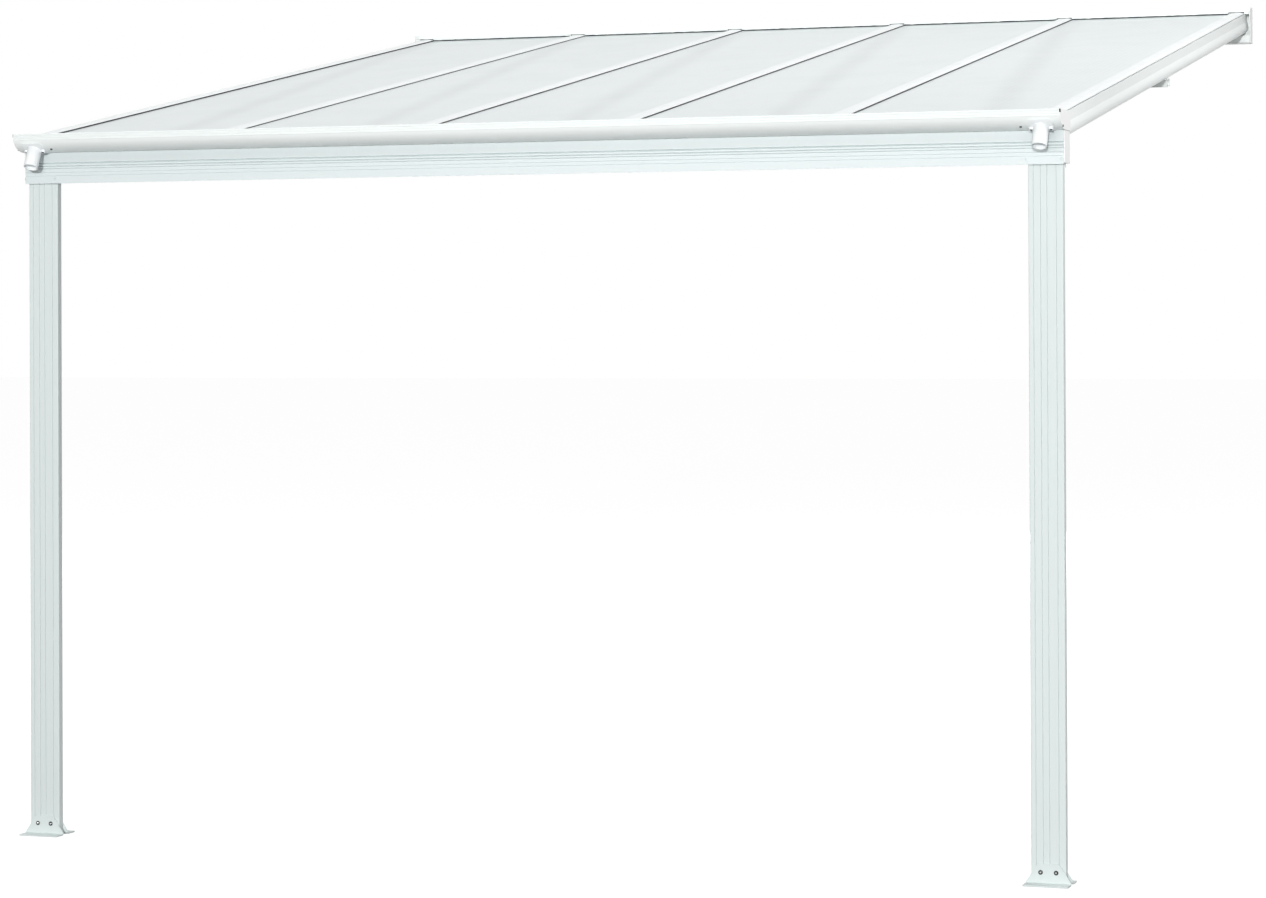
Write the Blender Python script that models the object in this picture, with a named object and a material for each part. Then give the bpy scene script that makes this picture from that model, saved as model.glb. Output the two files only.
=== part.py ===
"""Attached patio cover: a wall-hung lean-to roof of multiwall panels on two front posts.

The part frame has X to the right seen from the garden, Y towards the wall and Z up. Its origin lies on
the flat back face of the wall profile, halfway along it and halfway up it. All lengths are in metres.
Sections are drawn in the ground frame, with Z = 0 on the ground and Y = 0 on the front faces of the
posts, and each finished piece is moved to the part frame.
"""
import math

import bmesh
import bpy
from mathutils import Vector
from mathutils.geometry import tessellate_polygon

# Fits
GAP = 0.0003                 # clearance between two pieces that touch

# Layout
BAY = 0.610                  # between rafter centre lines
BAYS = 5                     # roof panels side by side
SIDE_SHIFT = 0.004           # side rafters' centre lines stand this far inside the bay lines
COVER_DEPTH = 3.045          # wall face to the front faces of the posts
HEADROOM = 1.915             # ground to the beam's underside
SLOPE = math.radians(9.72)   # fall of the roof towards the gutter

# Front beam
BEAM_H = 0.087
BEAM_D = 0.067
BEAM_NOSE = 0.012            # beam face in front of the post fronts
BEAM_REACH = 0.025           # beam end beyond the outer bay line
BEAM_WALL = 0.0018
BEAM_EDGE_R = 0.0020
BEAM_CAP_T = 0.0025
BEAM_GROOVES = (             # height above the underside, width and depth of each groove
    (0.0105, 0.0014, 0.0007),
    (0.0210, 0.0014, 0.0007),
    (0.0320, 0.0014, 0.0007),
    (0.0420, 0.0018, 0.0009),
    (0.0490, 0.0018, 0.0009),
    (0.0570, 0.0030, 0.0014),
)

# Roof panels and the trims on their lower edges
ROOF_RISE = 0.046            # panels' upper plane above the beam's top, over the post fronts
PANEL_T = 0.010
PANEL_SKIN = 0.0007
PANEL_RIB = 0.0007
PANEL_CELLS = 32
PANEL_EDGE = 0.006           # panel edge to rafter centre line
PANEL_OVERHANG = 0.021       # panels' lower edge in front of the beam's back
PANEL_WALL_GAP = 0.015       # panels' upper edge to the wall face
TRIM_COVER = 0.012
TRIM_T = 0.0012

# Rafters
RAFTER_H = 0.071             # panels' upper plane to the rafters' underside
RAFTER_FLANGE_W = 0.050
RAFTER_FLANGE_T = 0.0018
RAFTER_BOX_W = 0.024
RAFTER_WALL = 0.0015
RAFTER_CHAMFER = 0.0020
STEM_W = 0.008
STEM_DROP = 0.0005           # stem's top below the panels' upper plane
SIDE_OUTER = 0.0295          # side rafter's centre line to its flat outer face
SIDE_INNER = 0.018           # side rafter's centre line to its inner face
SIDE_LEDGE = 0.025           # side rafter's centre line to the tip of its panel ledge
SIDE_BAND = 0.028            # depth at which the side rafter's face starts to swell
SIDE_SWELL = 0.0040
SIDE_ROUND_TOP = 0.048       # depth at which the swollen face turns under
SIDE_ROUND_W = 0.022
SIDE_STEPS = 5
SLOT_W = 0.002
SLOT_D = 0.0075

# Cap strips
CAP_W = 0.052
CAP_H = 0.0068
CAP_EDGE_H = 0.0028
CAP_T = 0.0016
CAP_LEG_T = 0.0011
CAP_LEG_D = 0.0055
CAP_SLACK = 0.0004           # snap leg to the side of its slot
CAP_NOSE = 0.003             # cap strip beyond the panels' lower edge
CAP_WALL_GAP = 0.027
CAP_STEPS = 5

# Wall profile
WALL_REACH = 0.040           # profile end beyond the outer bay line
WALL_DEPTH = 0.055
WALL_T = 0.0020
WALL_LIP_CLEAR = 0.0020      # hood's lip above the cap strips
WALL_LIP_H = 0.0180
WALL_HOOD_FALL = 0.0025
WALL_EDGE = 0.0015
WALL_GROOVE_DROP = 0.0075    # groove in the hood's front below its top
WALL_GROOVE_W = 0.0015
WALL_GROOVE_D = 0.0008
WALL_LEDGE_D = 0.045
WALL_LEDGE_H = 0.027
WALL_LEDGE_CLEAR = 0.0018    # ledge below the rafters
WALL_CAP_T = 0.0030

# Cross bar
CROSS_Y = 1.520              # its front edge, behind the post fronts
CROSS_W = 0.040
CROSS_H = 0.024
CROSS_REACH = 0.020          # its end beyond the outer bay line
CROSS_WALL = 0.0016
CROSS_R = 0.0020

# Gutter
GUTTER_NOSE = 0.078          # lip in front of the post fronts
GUTTER_REACH = 0.027         # gutter end beyond the outer bay line
GUTTER_RISE = 0.053          # lip above the beam's top
GUTTER_CURVE_RISE = 0.043    # top of the round front above the beam's top
GUTTER_BACK_CLEAR = 0.0012   # back wall below the panels
GUTTER_WALL = 0.0017
GUTTER_LIP_W = 0.008
GUTTER_STEPS = 14
GUTTER_RIDGES = 3
GUTTER_RIDGE_D = 0.0010
GUTTER_CAP_T = 0.0025
GUTTER_CAP_RISE = 0.0080     # cap's rear corner above the back wall

# Outlets
OUTLET_TILT = math.radians(25.0)
OUTLET_OD = 0.042
OUTLET_ID = 0.036
OUTLET_NOSE = 0.075          # middle of the mouth in front of the post fronts
OUTLET_DROP = 0.046          # middle of the mouth below the beam's top
OUTLET_L = 0.075             # from the mouth to inside the gutter, before the gutter's shape is cut out
SADDLE_W = 0.076
SADDLE_T = 0.0030
SADDLE_FROM = 0.30           # share of the gutter's curve at which the saddle starts
SADDLE_TO = 0.90
OUTLET_STEPS = 36

# Posts
POST_REACH = 0.0205          # post's outer face beyond the outer bay line
POST_W = 0.0945
POST_D = 0.024
POST_WALL = 0.0016
POST_WEB = 0.0016
POST_R = 0.0030
POST_GROOVES = 5
POST_GROOVE_W = 0.0016
POST_GROOVE_D = 0.0008

# Foot brackets
FOOT_T = 0.004
FOOT_TOP_W = 0.058
FOOT_BASE_W = 0.124
FOOT_H = 0.056
FOOT_SIDE_H = 0.012          # upright part of the plate's sides
FOOT_REACH = 0.050
FOOT_BEND_R = 0.003
FOOT_EDGE = 0.001

# Places that follow from these
RUN = math.tan(SLOPE)
HALF = BAYS * BAY / 2.0
WALL_Y = COVER_DEPTH
BEAM_FRONT = -BEAM_NOSE
BEAM_BACK = BEAM_FRONT + BEAM_D
BEAM_TOP = HEADROOM + BEAM_H
ROOF_Z = BEAM_TOP + ROOF_RISE
WALL_FRONT = WALL_Y - WALL_DEPTH
LEDGE_FRONT = WALL_Y - WALL_LEDGE_D
LIP_Z = ROOF_Z + WALL_FRONT * RUN + CAP_H / math.cos(SLOPE) + WALL_LIP_CLEAR
WALL_TOP = LIP_Z + WALL_LIP_H
SHELF_Z = ROOF_Z + LEDGE_FRONT * RUN - RAFTER_H / math.cos(SLOPE) - WALL_LEDGE_CLEAR
WALL_BOTTOM = SHELF_Z - WALL_LEDGE_H
ORIGIN = Vector((0.0, WALL_Y, (WALL_BOTTOM + WALL_TOP) / 2.0))
POST_X = HALF + POST_REACH - POST_W / 2.0
MOUTH = Vector((0.0, -OUTLET_NOSE, BEAM_TOP - OUTLET_DROP))
SPOUT_AXIS = Vector((0.0, math.sin(OUTLET_TILT), math.cos(OUTLET_TILT)))
JOINTS = [(i - BAYS / 2.0) * BAY for i in range(BAYS + 1)]
JOINTS[0] += SIDE_SHIFT
JOINTS[-1] -= SIDE_SHIFT


def clear_scene():
    """Remove every object of the start-up scene."""
    for old in list(bpy.data.objects):
        bpy.data.objects.remove(old, do_unlink=True)


def material(name, colour, roughness):
    """Make one plain Principled material."""
    mat = bpy.data.materials.new(name)
    mat.use_nodes = True
    shader = mat.node_tree.nodes["Principled BSDF"]
    shader.inputs["Base Color"].default_value = (*colour, 1.0)
    shader.inputs["Roughness"].default_value = roughness
    mat.diffuse_color = (*colour, 1.0)
    return mat


def roof_point(x, s, n):
    """Give the ground-frame point at x, distance s up the slope and height n above the panel plane."""
    return Vector((
        x,
        s * math.cos(SLOPE) - n * math.sin(SLOPE),
        ROOF_Z + s * math.sin(SLOPE) + n * math.cos(SLOPE),
    ))


def slope_at(y, n=0.0):
    """Give the distance up the slope of the point at ground-frame y and height n above the panel plane."""
    return (y + n * math.sin(SLOPE)) / math.cos(SLOPE)


def finish(name, bm, mat):
    """Turn a bmesh in the ground frame into a named object in the part frame."""
    bmesh.ops.recalc_face_normals(bm, faces=bm.faces[:])
    bmesh.ops.translate(bm, vec=-ORIGIN, verts=bm.verts[:])
    mesh = bpy.data.meshes.new(name)
    bm.to_mesh(mesh)
    bm.free()
    obj = bpy.data.objects.new(name, mesh)
    bpy.context.scene.collection.objects.link(obj)
    mesh.materials.append(mat)
    return obj


def prism(loops, near, far):
    """Sweep a section between two ends: loops[0] is its outline, the others are its hollows.

    near and far turn a section point (a, b) into a point in space at either end.
    """
    bm = bmesh.new()
    firsts = []
    lasts = []
    for loop in loops:
        first = [bm.verts.new(near(a, b)) for a, b in loop]
        last = [bm.verts.new(far(a, b)) for a, b in loop]
        for i in range(len(loop)):
            j = (i + 1) % len(loop)
            bm.faces.new((first[i], first[j], last[j], last[i]))
        firsts += first
        lasts += last
    flat = [[Vector((a, b, 0.0)) for a, b in loop] for loop in loops]
    for tri in tessellate_polygon(flat):
        bm.faces.new([firsts[i] for i in tri])
        bm.faces.new([lasts[i] for i in reversed(tri)])
    return bm


def along_x(loops, x0, x1):
    """Sweep a (Y, Z) section from x0 to x1."""
    return prism(loops, lambda a, b: Vector((x0, a, b)), lambda a, b: Vector((x1, a, b)))


def along_y(loops, y0, y1):
    """Sweep an (X, Z) section from y0 to y1."""
    return prism(loops, lambda a, b: Vector((a, y0, b)), lambda a, b: Vector((a, y1, b)))


def across_roof(loops, x0, x1):
    """Sweep a section in the roof's (s, n) plane from x0 to x1."""
    return prism(loops, lambda a, b: roof_point(x0, a, b), lambda a, b: roof_point(x1, a, b))


def up_slope(loops, near_s, far_s):
    """Sweep an (x, n) section up the roof; near_s and far_s give the two ends at each height n."""
    return prism(
        loops,
        lambda a, b: roof_point(a, near_s(b), b),
        lambda a, b: roof_point(a, far_s(b), b),
    )


def upright_cut(y):
    """End a rafter with an upright cut at ground-frame y."""
    return lambda n: slope_at(y, n)


def square_cut(s):
    """End a piece squarely at distance s up the slope."""
    return lambda n: s


def box(a0, a1, b0, b1):
    """Give a rectangular loop."""
    return [(a0, b0), (a1, b0), (a1, b1), (a0, b1)]


def shifted(loop, da):
    """Move a loop along its first axis."""
    return [(a + da, b) for a, b in loop]


def mirrored(loop):
    """Mirror a loop about the middle of the cover."""
    return [(-a, b) for a, b in reversed(loop)]


def rounded(loop, radius, steps=3):
    """Round every corner of a loop."""
    out = []
    for i, corner in enumerate(loop):
        p = Vector(corner)
        a = (Vector(loop[i - 1]) - p).normalized()
        b = (Vector(loop[(i + 1) % len(loop)]) - p).normalized()
        angle = a.angle(b)
        centre = p + (a + b).normalized() * (radius / math.sin(angle / 2.0))
        start = p + a * (radius / math.tan(angle / 2.0)) - centre
        stop = p + b * (radius / math.tan(angle / 2.0)) - centre
        for k in range(steps + 1):
            out.append(tuple(centre + start.lerp(stop, k / steps).normalized() * radius))
    return out


def combine(obj, other, operation):
    """Apply one exact boolean to obj and drop the other object."""
    other.hide_render = True
    other.display_type = "WIRE"
    mod = obj.modifiers.new("combine", "BOOLEAN")
    mod.operation = operation
    mod.solver = "EXACT"
    mod.object = other
    bpy.context.view_layer.update()
    graph = bpy.context.evaluated_depsgraph_get()
    mesh = bpy.data.meshes.new_from_object(obj.evaluated_get(graph))
    obj.modifiers.clear()
    obj.data = mesh
    bpy.data.objects.remove(other, do_unlink=True)


def round_bar(start, stop, radius, steps):
    """Make a closed round bar between two ground-frame points."""
    axis = (stop - start).normalized()
    side = Vector((1.0, 0.0, 0.0))
    up = axis.cross(side).normalized()
    ring = []
    for k in range(steps):
        turn = 2.0 * math.pi * k / steps
        ring.append(side * (radius * math.cos(turn)) + up * (radius * math.sin(turn)))
    bm = bmesh.new()
    low = [bm.verts.new(start + r) for r in ring]
    high = [bm.verts.new(stop + r) for r in ring]
    for k in range(steps):
        j = (k + 1) % steps
        bm.faces.new((low[k], low[j], high[j], high[k]))
    bm.faces.new(low)
    bm.faces.new(high)
    return bm


def end_caps(names, section, half, thickness, mat):
    """Close both ends of a profile with plates cut to one section."""
    for side, name in zip((-1.0, 1.0), names):
        inner = side * (half + GAP)
        finish(name, along_x([section], inner, inner + side * thickness), mat)


def wall_profile(mat):
    """Make the wall profile: back plate, hood over the panels and hollow ledge under the rafters."""
    back, front, ledge, t = WALL_Y, WALL_FRONT, LEDGE_FRONT, WALL_T
    chamfer = 2.0 * WALL_EDGE
    hood_z = WALL_TOP - WALL_HOOD_FALL
    groove_z = WALL_TOP - WALL_GROOVE_DROP
    base = [(back, WALL_BOTTOM), (ledge + chamfer, WALL_BOTTOM), (ledge, WALL_BOTTOM + chamfer)]
    face = [
        (front, groove_z - WALL_GROOVE_W),
        (front + WALL_GROOVE_D, groove_z - 0.7 * WALL_GROOVE_W),
        (front + WALL_GROOVE_D, groove_z - 0.3 * WALL_GROOVE_W),
        (front, groove_z),
    ]
    top = [(front, hood_z - WALL_EDGE), (front + WALL_EDGE, hood_z), (back, WALL_TOP)]
    inside = [(ledge, SHELF_Z), (back - t, SHELF_Z), (back - t, WALL_TOP - t)]
    inside += [(front + t, hood_z - t), (front + t, LIP_Z)]
    hollow = box(ledge + t, back - t, WALL_BOTTOM + t, SHELF_Z - t)
    half = HALF + WALL_REACH
    outline = base + inside + [(front, LIP_Z)] + face + top
    finish("wall_profile", along_x([outline, hollow], -half, half), mat)
    side = base + [(ledge, SHELF_Z + WALL_LEDGE_H), (front, LIP_Z - WALL_LIP_H)] + top
    end_caps(("wall_cap_left", "wall_cap_right"), side, half, WALL_CAP_T, mat)


def screw_port():
    """Give the hollow in a rafter's stem."""
    inner = STEM_W / 2.0 - RAFTER_WALL
    return box(-inner, inner, -PANEL_T, -STEM_DROP - RAFTER_WALL)


def inner_rafter_section():
    """Give the outline and hollows of an inner rafter about its centre line."""
    top = -PANEL_T - GAP
    under = top - RAFTER_FLANGE_T
    low = -RAFTER_H
    flange, half, stem, c = RAFTER_FLANGE_W / 2.0, RAFTER_BOX_W / 2.0, STEM_W / 2.0, RAFTER_CHAMFER
    right = [
        (half - c, low), (half, low + c), (half, under), (flange, under), (flange, top),
        (stem, top), (stem, -STEM_DROP),
    ]
    left = [(-a, b) for a, b in reversed(right)]
    inner = half - RAFTER_WALL
    return [right + left, box(-inner, inner, low + RAFTER_WALL, under), screw_port()]


def side_band(inset):
    """Give the side rafter's lower band from its underside up, moved inwards by inset.

    It turns up from the underside in a quarter of an ellipse and eases back to the flat face above.
    """
    middle = SIDE_OUTER + SIDE_SWELL - SIDE_ROUND_W
    a = SIDE_ROUND_W - inset
    b = RAFTER_H - SIDE_ROUND_TOP - inset
    points = []
    for k in range(SIDE_STEPS + 1):
        turn = math.pi / 2.0 * k / SIDE_STEPS
        points.append((middle + a * math.sin(turn), -SIDE_ROUND_TOP - b * math.cos(turn)))
    for k in range(1, SIDE_STEPS + 1):
        t = k / SIDE_STEPS
        x = SIDE_OUTER - inset + SIDE_SWELL * math.cos(math.pi / 2.0 * t)
        points.append((x, -SIDE_ROUND_TOP + t * (SIDE_ROUND_TOP - SIDE_BAND)))
    return points


def side_rafter_section():
    """Give the outline and hollows of the right side rafter about its centre line.

    Its outer face is flat above and swells into a round band below. A second slot outside the stem
    takes the cap strip's outer leg.
    """
    top = -PANEL_T - GAP
    under = top - RAFTER_FLANGE_T
    low = -RAFTER_H
    stem, out, inner, w, c = STEM_W / 2.0, SIDE_OUTER, -SIDE_INNER, RAFTER_WALL, 2.0 * RAFTER_CHAMFER
    slot = stem + SLOT_W
    outline = [(-SIDE_LEDGE, top), (-SIDE_LEDGE, under), (inner, under), (inner, low + c), (inner + c, low)]
    outline += side_band(0.0)
    outline += [
        (out, -STEM_DROP), (slot, -STEM_DROP), (slot, -SLOT_D), (stem, -SLOT_D), (stem, -STEM_DROP),
        (-stem, -STEM_DROP), (-stem, top),
    ]
    hollow = [(inner + w, under), (inner + w, low + w + c), (inner + w + c, low + w)]
    hollow += side_band(w)
    hollow += [(out - w, -STEM_DROP - w), (slot + w, -STEM_DROP - w), (slot + w, under)]
    return [outline, hollow, screw_port()]


def rafters(mat):
    """Make the inner rafters and the two side rafters."""
    near = upright_cut(BEAM_BACK + GAP)
    far = upright_cut(WALL_Y - WALL_T - GAP)
    for i in range(1, BAYS):
        loops = [shifted(loop, JOINTS[i]) for loop in inner_rafter_section()]
        finish(f"rafter_{i}", up_slope(loops, near, far), mat)
    right = [shifted(loop, JOINTS[-1]) for loop in side_rafter_section()]
    finish("side_rafter_right", up_slope(right, near, far), mat)
    finish("side_rafter_left", up_slope([mirrored(loop) for loop in right], near, far), mat)


def cap_strips(mat):
    """Make the arched snap-on cap strips over the panel joints."""
    half = CAP_W / 2.0
    leg_out = STEM_W / 2.0 + SLOT_W - CAP_SLACK
    leg_in = leg_out - CAP_LEG_T
    foot = half - CAP_T

    def crown(a, drop):
        """Give the arch's height at distance a from the middle, less drop."""
        return CAP_EDGE_H + (CAP_H - CAP_EDGE_H) * (1.0 - (a / half) ** 4) - drop

    over = []
    for k in range(CAP_STEPS + 1):
        a = half * (1.0 - (k / CAP_STEPS) ** 2)
        over.append((a, crown(a, 0.0)))
    under = [(foot, GAP), (foot, 0.5 * CAP_EDGE_H)]
    under += [(a, crown(a, CAP_T)) for a in (0.80 * half, 0.55 * half, leg_out)]
    under += [(leg_out, -CAP_LEG_D), (leg_in, -CAP_LEG_D), (leg_in, crown(leg_in, CAP_T))]
    right = [(half, GAP)] + over
    left = [(-a, b) for a, b in reversed(right[:-1])]
    outline = right + left + [(-a, b) for a, b in under] + list(reversed(under))
    near = square_cut(slope_at(BEAM_BACK - PANEL_OVERHANG) - CAP_NOSE)
    far = upright_cut(WALL_Y - CAP_WALL_GAP)
    for i, x in enumerate(JOINTS):
        finish(f"cap_strip_{i + 1}", up_slope([shifted(outline, x)], near, far), mat)


def panel(i, s0, s1, mat):
    """Make roof panel i with its open channels between ribs."""
    left = JOINTS[i] + PANEL_EDGE
    right = JOINTS[i + 1] - PANEL_EDGE
    pitch = (right - left - PANEL_RIB) / PANEL_CELLS
    loops = [box(left, right, -PANEL_T, 0.0)]
    for k in range(PANEL_CELLS):
        a = left + PANEL_RIB + k * pitch
        loops.append(box(a, a + pitch - PANEL_RIB, PANEL_SKIN - PANEL_T, -PANEL_SKIN))
    finish(f"roof_panel_{i + 1}", up_slope(loops, square_cut(s0), square_cut(s1)), mat)


def panel_trim(i, s0, mat):
    """Make the channel trim that closes the lower edge of panel i, between two cap strips."""
    t = TRIM_T
    upper = GAP + t
    lower = -PANEL_T - GAP - t
    outline = [
        (s0 - GAP - t, lower), (s0 + TRIM_COVER, lower), (s0 + TRIM_COVER, lower + t), (s0 - GAP, lower + t),
        (s0 - GAP, GAP), (s0 + TRIM_COVER, GAP), (s0 + TRIM_COVER, upper), (s0 - GAP - t, upper),
    ]
    side = CAP_W / 2.0 + GAP
    finish(f"panel_trim_{i + 1}", across_roof([outline], JOINTS[i] + side, JOINTS[i + 1] - side), mat)


def roof(opal, white):
    """Make the roof panels and their lower trims."""
    s0 = slope_at(BEAM_BACK - PANEL_OVERHANG)
    s1 = slope_at(WALL_Y - PANEL_WALL_GAP)
    for i in range(BAYS):
        panel(i, s0, s1, opal)
        panel_trim(i, s0, white)


def cross_bar(mat):
    """Make the hollow cross bar that ties the rafters from below."""
    s0 = slope_at(CROSS_Y)
    s1 = s0 + CROSS_W
    top = -RAFTER_H - GAP
    low = top - CROSS_H
    w = CROSS_WALL
    half = HALF + CROSS_REACH
    outline = rounded(box(s0, s1, low, top), CROSS_R)
    finish("cross_bar", across_roof([outline, box(s0 + w, s1 - w, low + w, top - w)], -half, half), mat)


def front_beam(mat):
    """Make the grooved hollow front beam and its end caps."""
    f, b, z0, z1, r, w = BEAM_FRONT, BEAM_BACK, HEADROOM, BEAM_TOP, BEAM_EDGE_R, BEAM_WALL
    outline = [(b, z0), (b, z1), (f + r, z1), (f, z1 - r)]
    for height, wide, deep in reversed(BEAM_GROOVES):
        z = z0 + height
        outline += [(f, z + wide / 2.0), (f + deep, z + wide / 4.0)]
        outline += [(f + deep, z - wide / 4.0), (f, z - wide / 2.0)]
    outline += [(f, z0 + r), (f + r, z0)]
    inner = f + w + BEAM_GROOVES[-1][2]
    half = HALF + BEAM_REACH
    finish("front_beam", along_x([outline, box(inner, b - w, z0 + w, z1 - w)], -half, half), mat)
    end_caps(("beam_cap_left", "beam_cap_right"), rounded(box(f, b, z0, z1), r), half, BEAM_CAP_T, mat)


def gutter_curve(offset, start=0.0, stop=1.0, steps=GUTTER_STEPS):
    """Give points on the gutter's round front, moved outwards by offset, from the lip down to the beam."""
    high = BEAM_TOP + GUTTER_CURVE_RISE
    a = GUTTER_NOSE - BEAM_NOSE
    b = GUTTER_CURVE_RISE - GAP
    out = []
    for k in range(steps + 1):
        t = (start + (stop - start) * k / steps) * math.pi / 2.0
        normal = Vector((-math.cos(t) / a, -math.sin(t) / b)).normalized()
        y = BEAM_FRONT - a * math.cos(t) + normal.x * offset
        z = high - b * math.sin(t) + normal.y * offset
        out.append((y, z))
    return out


def gutter(mat):
    """Make the gutter on the beam, with its round front, ridged lip and outlet holes, and its end caps."""
    base = BEAM_TOP + GAP
    back = ROOF_Z + BEAM_BACK * RUN - PANEL_T / math.cos(SLOPE) - GUTTER_BACK_CLEAR
    lip = BEAM_TOP + GUTTER_RISE
    nose = -GUTTER_NOSE
    w = GUTTER_WALL
    ridge = (GUTTER_RISE - GUTTER_CURVE_RISE) / GUTTER_RIDGES
    shell = list(reversed(gutter_curve(0.0)))
    outline = [(BEAM_BACK, back), (BEAM_BACK, base)] + shell
    for k in range(GUTTER_RIDGES):
        z = BEAM_TOP + GUTTER_CURVE_RISE + k * ridge
        outline += [(nose + GUTTER_RIDGE_D, z + 0.2 * ridge), (nose + GUTTER_RIDGE_D, z + 0.4 * ridge)]
        outline += [(nose, z + 0.6 * ridge), (nose, z + 0.9 * ridge)]
    outline += [(nose + GUTTER_RIDGE_D, lip), (nose + GUTTER_LIP_W, lip), (nose + GUTTER_LIP_W, lip - w)]
    outline += [(nose + GUTTER_RIDGE_D + w, lip - w)]
    outline += gutter_curve(-w, 0.04)
    outline += [(BEAM_BACK - w, base + w), (BEAM_BACK - w, back)]
    half = HALF + GUTTER_REACH
    body = finish("gutter", along_x([outline], -half, half), mat)
    for x in (-POST_X, POST_X):
        mouth = MOUTH + Vector((x, 0.0, 0.0))
        low = mouth + SPOUT_AXIS * 0.4 * OUTLET_L
        high = mouth + SPOUT_AXIS * 1.1 * OUTLET_L
        bore = round_bar(low, high, OUTLET_ID / 2.0, OUTLET_STEPS)
        combine(body, finish("bore", bore, mat), "DIFFERENCE")
    section = [(BEAM_BACK, back + GUTTER_CAP_RISE), (BEAM_BACK, base)] + shell
    section += [(nose, lip - 2.0 * GUTTER_RIDGE_D), (nose + 2.0 * GUTTER_RIDGE_D, lip)]
    end_caps(("gutter_cap_left", "gutter_cap_right"), section, half, GUTTER_CAP_T, mat)


def outlet(name, x, mat):
    """Make one rainwater outlet: a saddle that follows the gutter's curve, with a slanted round spout.

    The spout is joined to the saddle, the gutter's own outline is cut out of both, and the bore runs
    through to the gutter's hole.
    """
    near = gutter_curve(GAP, SADDLE_FROM, SADDLE_TO)
    away = gutter_curve(GAP + SADDLE_T, SADDLE_FROM, SADDLE_TO)
    body = finish(name, along_x([near + list(reversed(away))], x - SADDLE_W / 2.0, x + SADDLE_W / 2.0), mat)
    mouth = MOUTH + Vector((x, 0.0, 0.0))
    top = mouth + SPOUT_AXIS * OUTLET_L
    beyond = SPOUT_AXIS * 0.1 * OUTLET_L
    combine(body, finish("spout", round_bar(mouth, top, OUTLET_OD / 2.0, OUTLET_STEPS), mat), "UNION")
    rim = BEAM_TOP + GUTTER_RISE
    room = [(BEAM_BACK, rim), (BEAM_BACK, BEAM_TOP)] + list(reversed(gutter_curve(GAP)))
    room += [(-GUTTER_NOSE - GAP, rim)]
    combine(body, finish("room", along_x([room], x - SADDLE_W, x + SADDLE_W), mat), "DIFFERENCE")
    bore = round_bar(mouth - beyond, top + beyond, OUTLET_ID / 2.0, OUTLET_STEPS)
    combine(body, finish("bore", bore, mat), "DIFFERENCE")


def post(name, x, mat):
    """Make one flat hollow post with a middle web and fine grooves on its two broad faces."""
    half, r, w, d = POST_W / 2.0, POST_R, POST_WALL, POST_D
    corner = r * (1.0 - math.sqrt(0.5))
    step = POST_W / (POST_GROOVES + 1)
    face = [(-half, r), (corner - half, corner), (r - half, 0.0)]
    for k in range(POST_GROOVES):
        a = step * (k + 1) - half
        g = POST_GROOVE_W / 2.0
        face += [(a - g, 0.0), (a - g / 2.0, POST_GROOVE_D), (a + g / 2.0, POST_GROOVE_D), (a + g, 0.0)]
    face += [(half - r, 0.0), (half - corner, corner), (half, r)]
    outline = face + [(a, d - b) for a, b in reversed(face)]
    web = POST_WEB / 2.0
    loops = [outline, box(w - half, -web, w, d - w), box(web, half - w, w, d - w)]
    top = HEADROOM - GAP
    bm = prism(loops, lambda a, b: Vector((x + a, b, 0.0)), lambda a, b: Vector((x + a, b, top)))
    finish(name, bm, mat)


def foot_bracket(name, x, face_y, away, mat):
    """Make one angle bracket: a tapered plate on the post's broad face and a flange on the ground.

    face_y is the post face that the plate stands on, and away, 1 or -1, is the way the flange points.
    """
    t, r, e = FOOT_T, FOOT_BEND_R, FOOT_EDGE
    half = FOOT_BASE_W / 2.0
    section = [
        (0.0, 0.0), (FOOT_REACH, 0.0), (FOOT_REACH, t - e), (FOOT_REACH - e, t), (t + r, t),
        (t + 0.3 * r, t + 0.3 * r), (t, t + r), (t, FOOT_H), (0.0, FOOT_H),
    ]
    placed = [(face_y + away * (GAP + a), b) for a, b in section]
    body = finish(name, along_x([placed], x - half, x + half), mat)
    for side in (-1.0, 1.0):
        wedge = [
            (x + side * half, FOOT_SIDE_H), (x + side * FOOT_BASE_W, FOOT_SIDE_H),
            (x + side * FOOT_BASE_W, 2.0 * FOOT_H), (x + side * FOOT_TOP_W / 2.0, 2.0 * FOOT_H),
            (x + side * FOOT_TOP_W / 2.0, FOOT_H),
        ]
        cutter = along_y([wedge], face_y - 2.0 * FOOT_REACH, face_y + 2.0 * FOOT_REACH)
        combine(body, finish("wedge", cutter, mat), "DIFFERENCE")


def main():
    """Build the whole cover."""
    clear_scene()
    white = material("white_powder_coat", (0.84, 0.86, 0.86), 0.38)
    moulded = material("white_moulding", (0.88, 0.90, 0.92), 0.32)
    opal = material("opal_polycarbonate", (0.80, 0.84, 0.85), 0.22)
    wall_profile(white)
    rafters(white)
    cap_strips(white)
    roof(opal, white)
    cross_bar(white)
    front_beam(white)
    gutter(white)
    for side, x in (("left", -POST_X), ("right", POST_X)):
        outlet(f"outlet_{side}", x, moulded)
        post(f"post_{side}", x, white)
        foot_bracket(f"foot_{side}_front", x, 0.0, -1.0, white)
        foot_bracket(f"foot_{side}_back", x, POST_D, 1.0, white)


main()
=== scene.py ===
"""Looks of an attached patio cover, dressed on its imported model.

The CAD parts stay where they are. Profiles that show their edges are copied, merged and given small
edge radii, fasteners, gaskets and seals are modelled new, and every surface gets a procedural finish.
"""

import logging
import math
from collections.abc import Callable, Iterator, Sequence
from contextlib import contextmanager
from dataclasses import dataclass
from enum import Enum
from typing import Protocol

import bmesh
import bpy
from mathutils import Matrix, Vector


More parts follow.
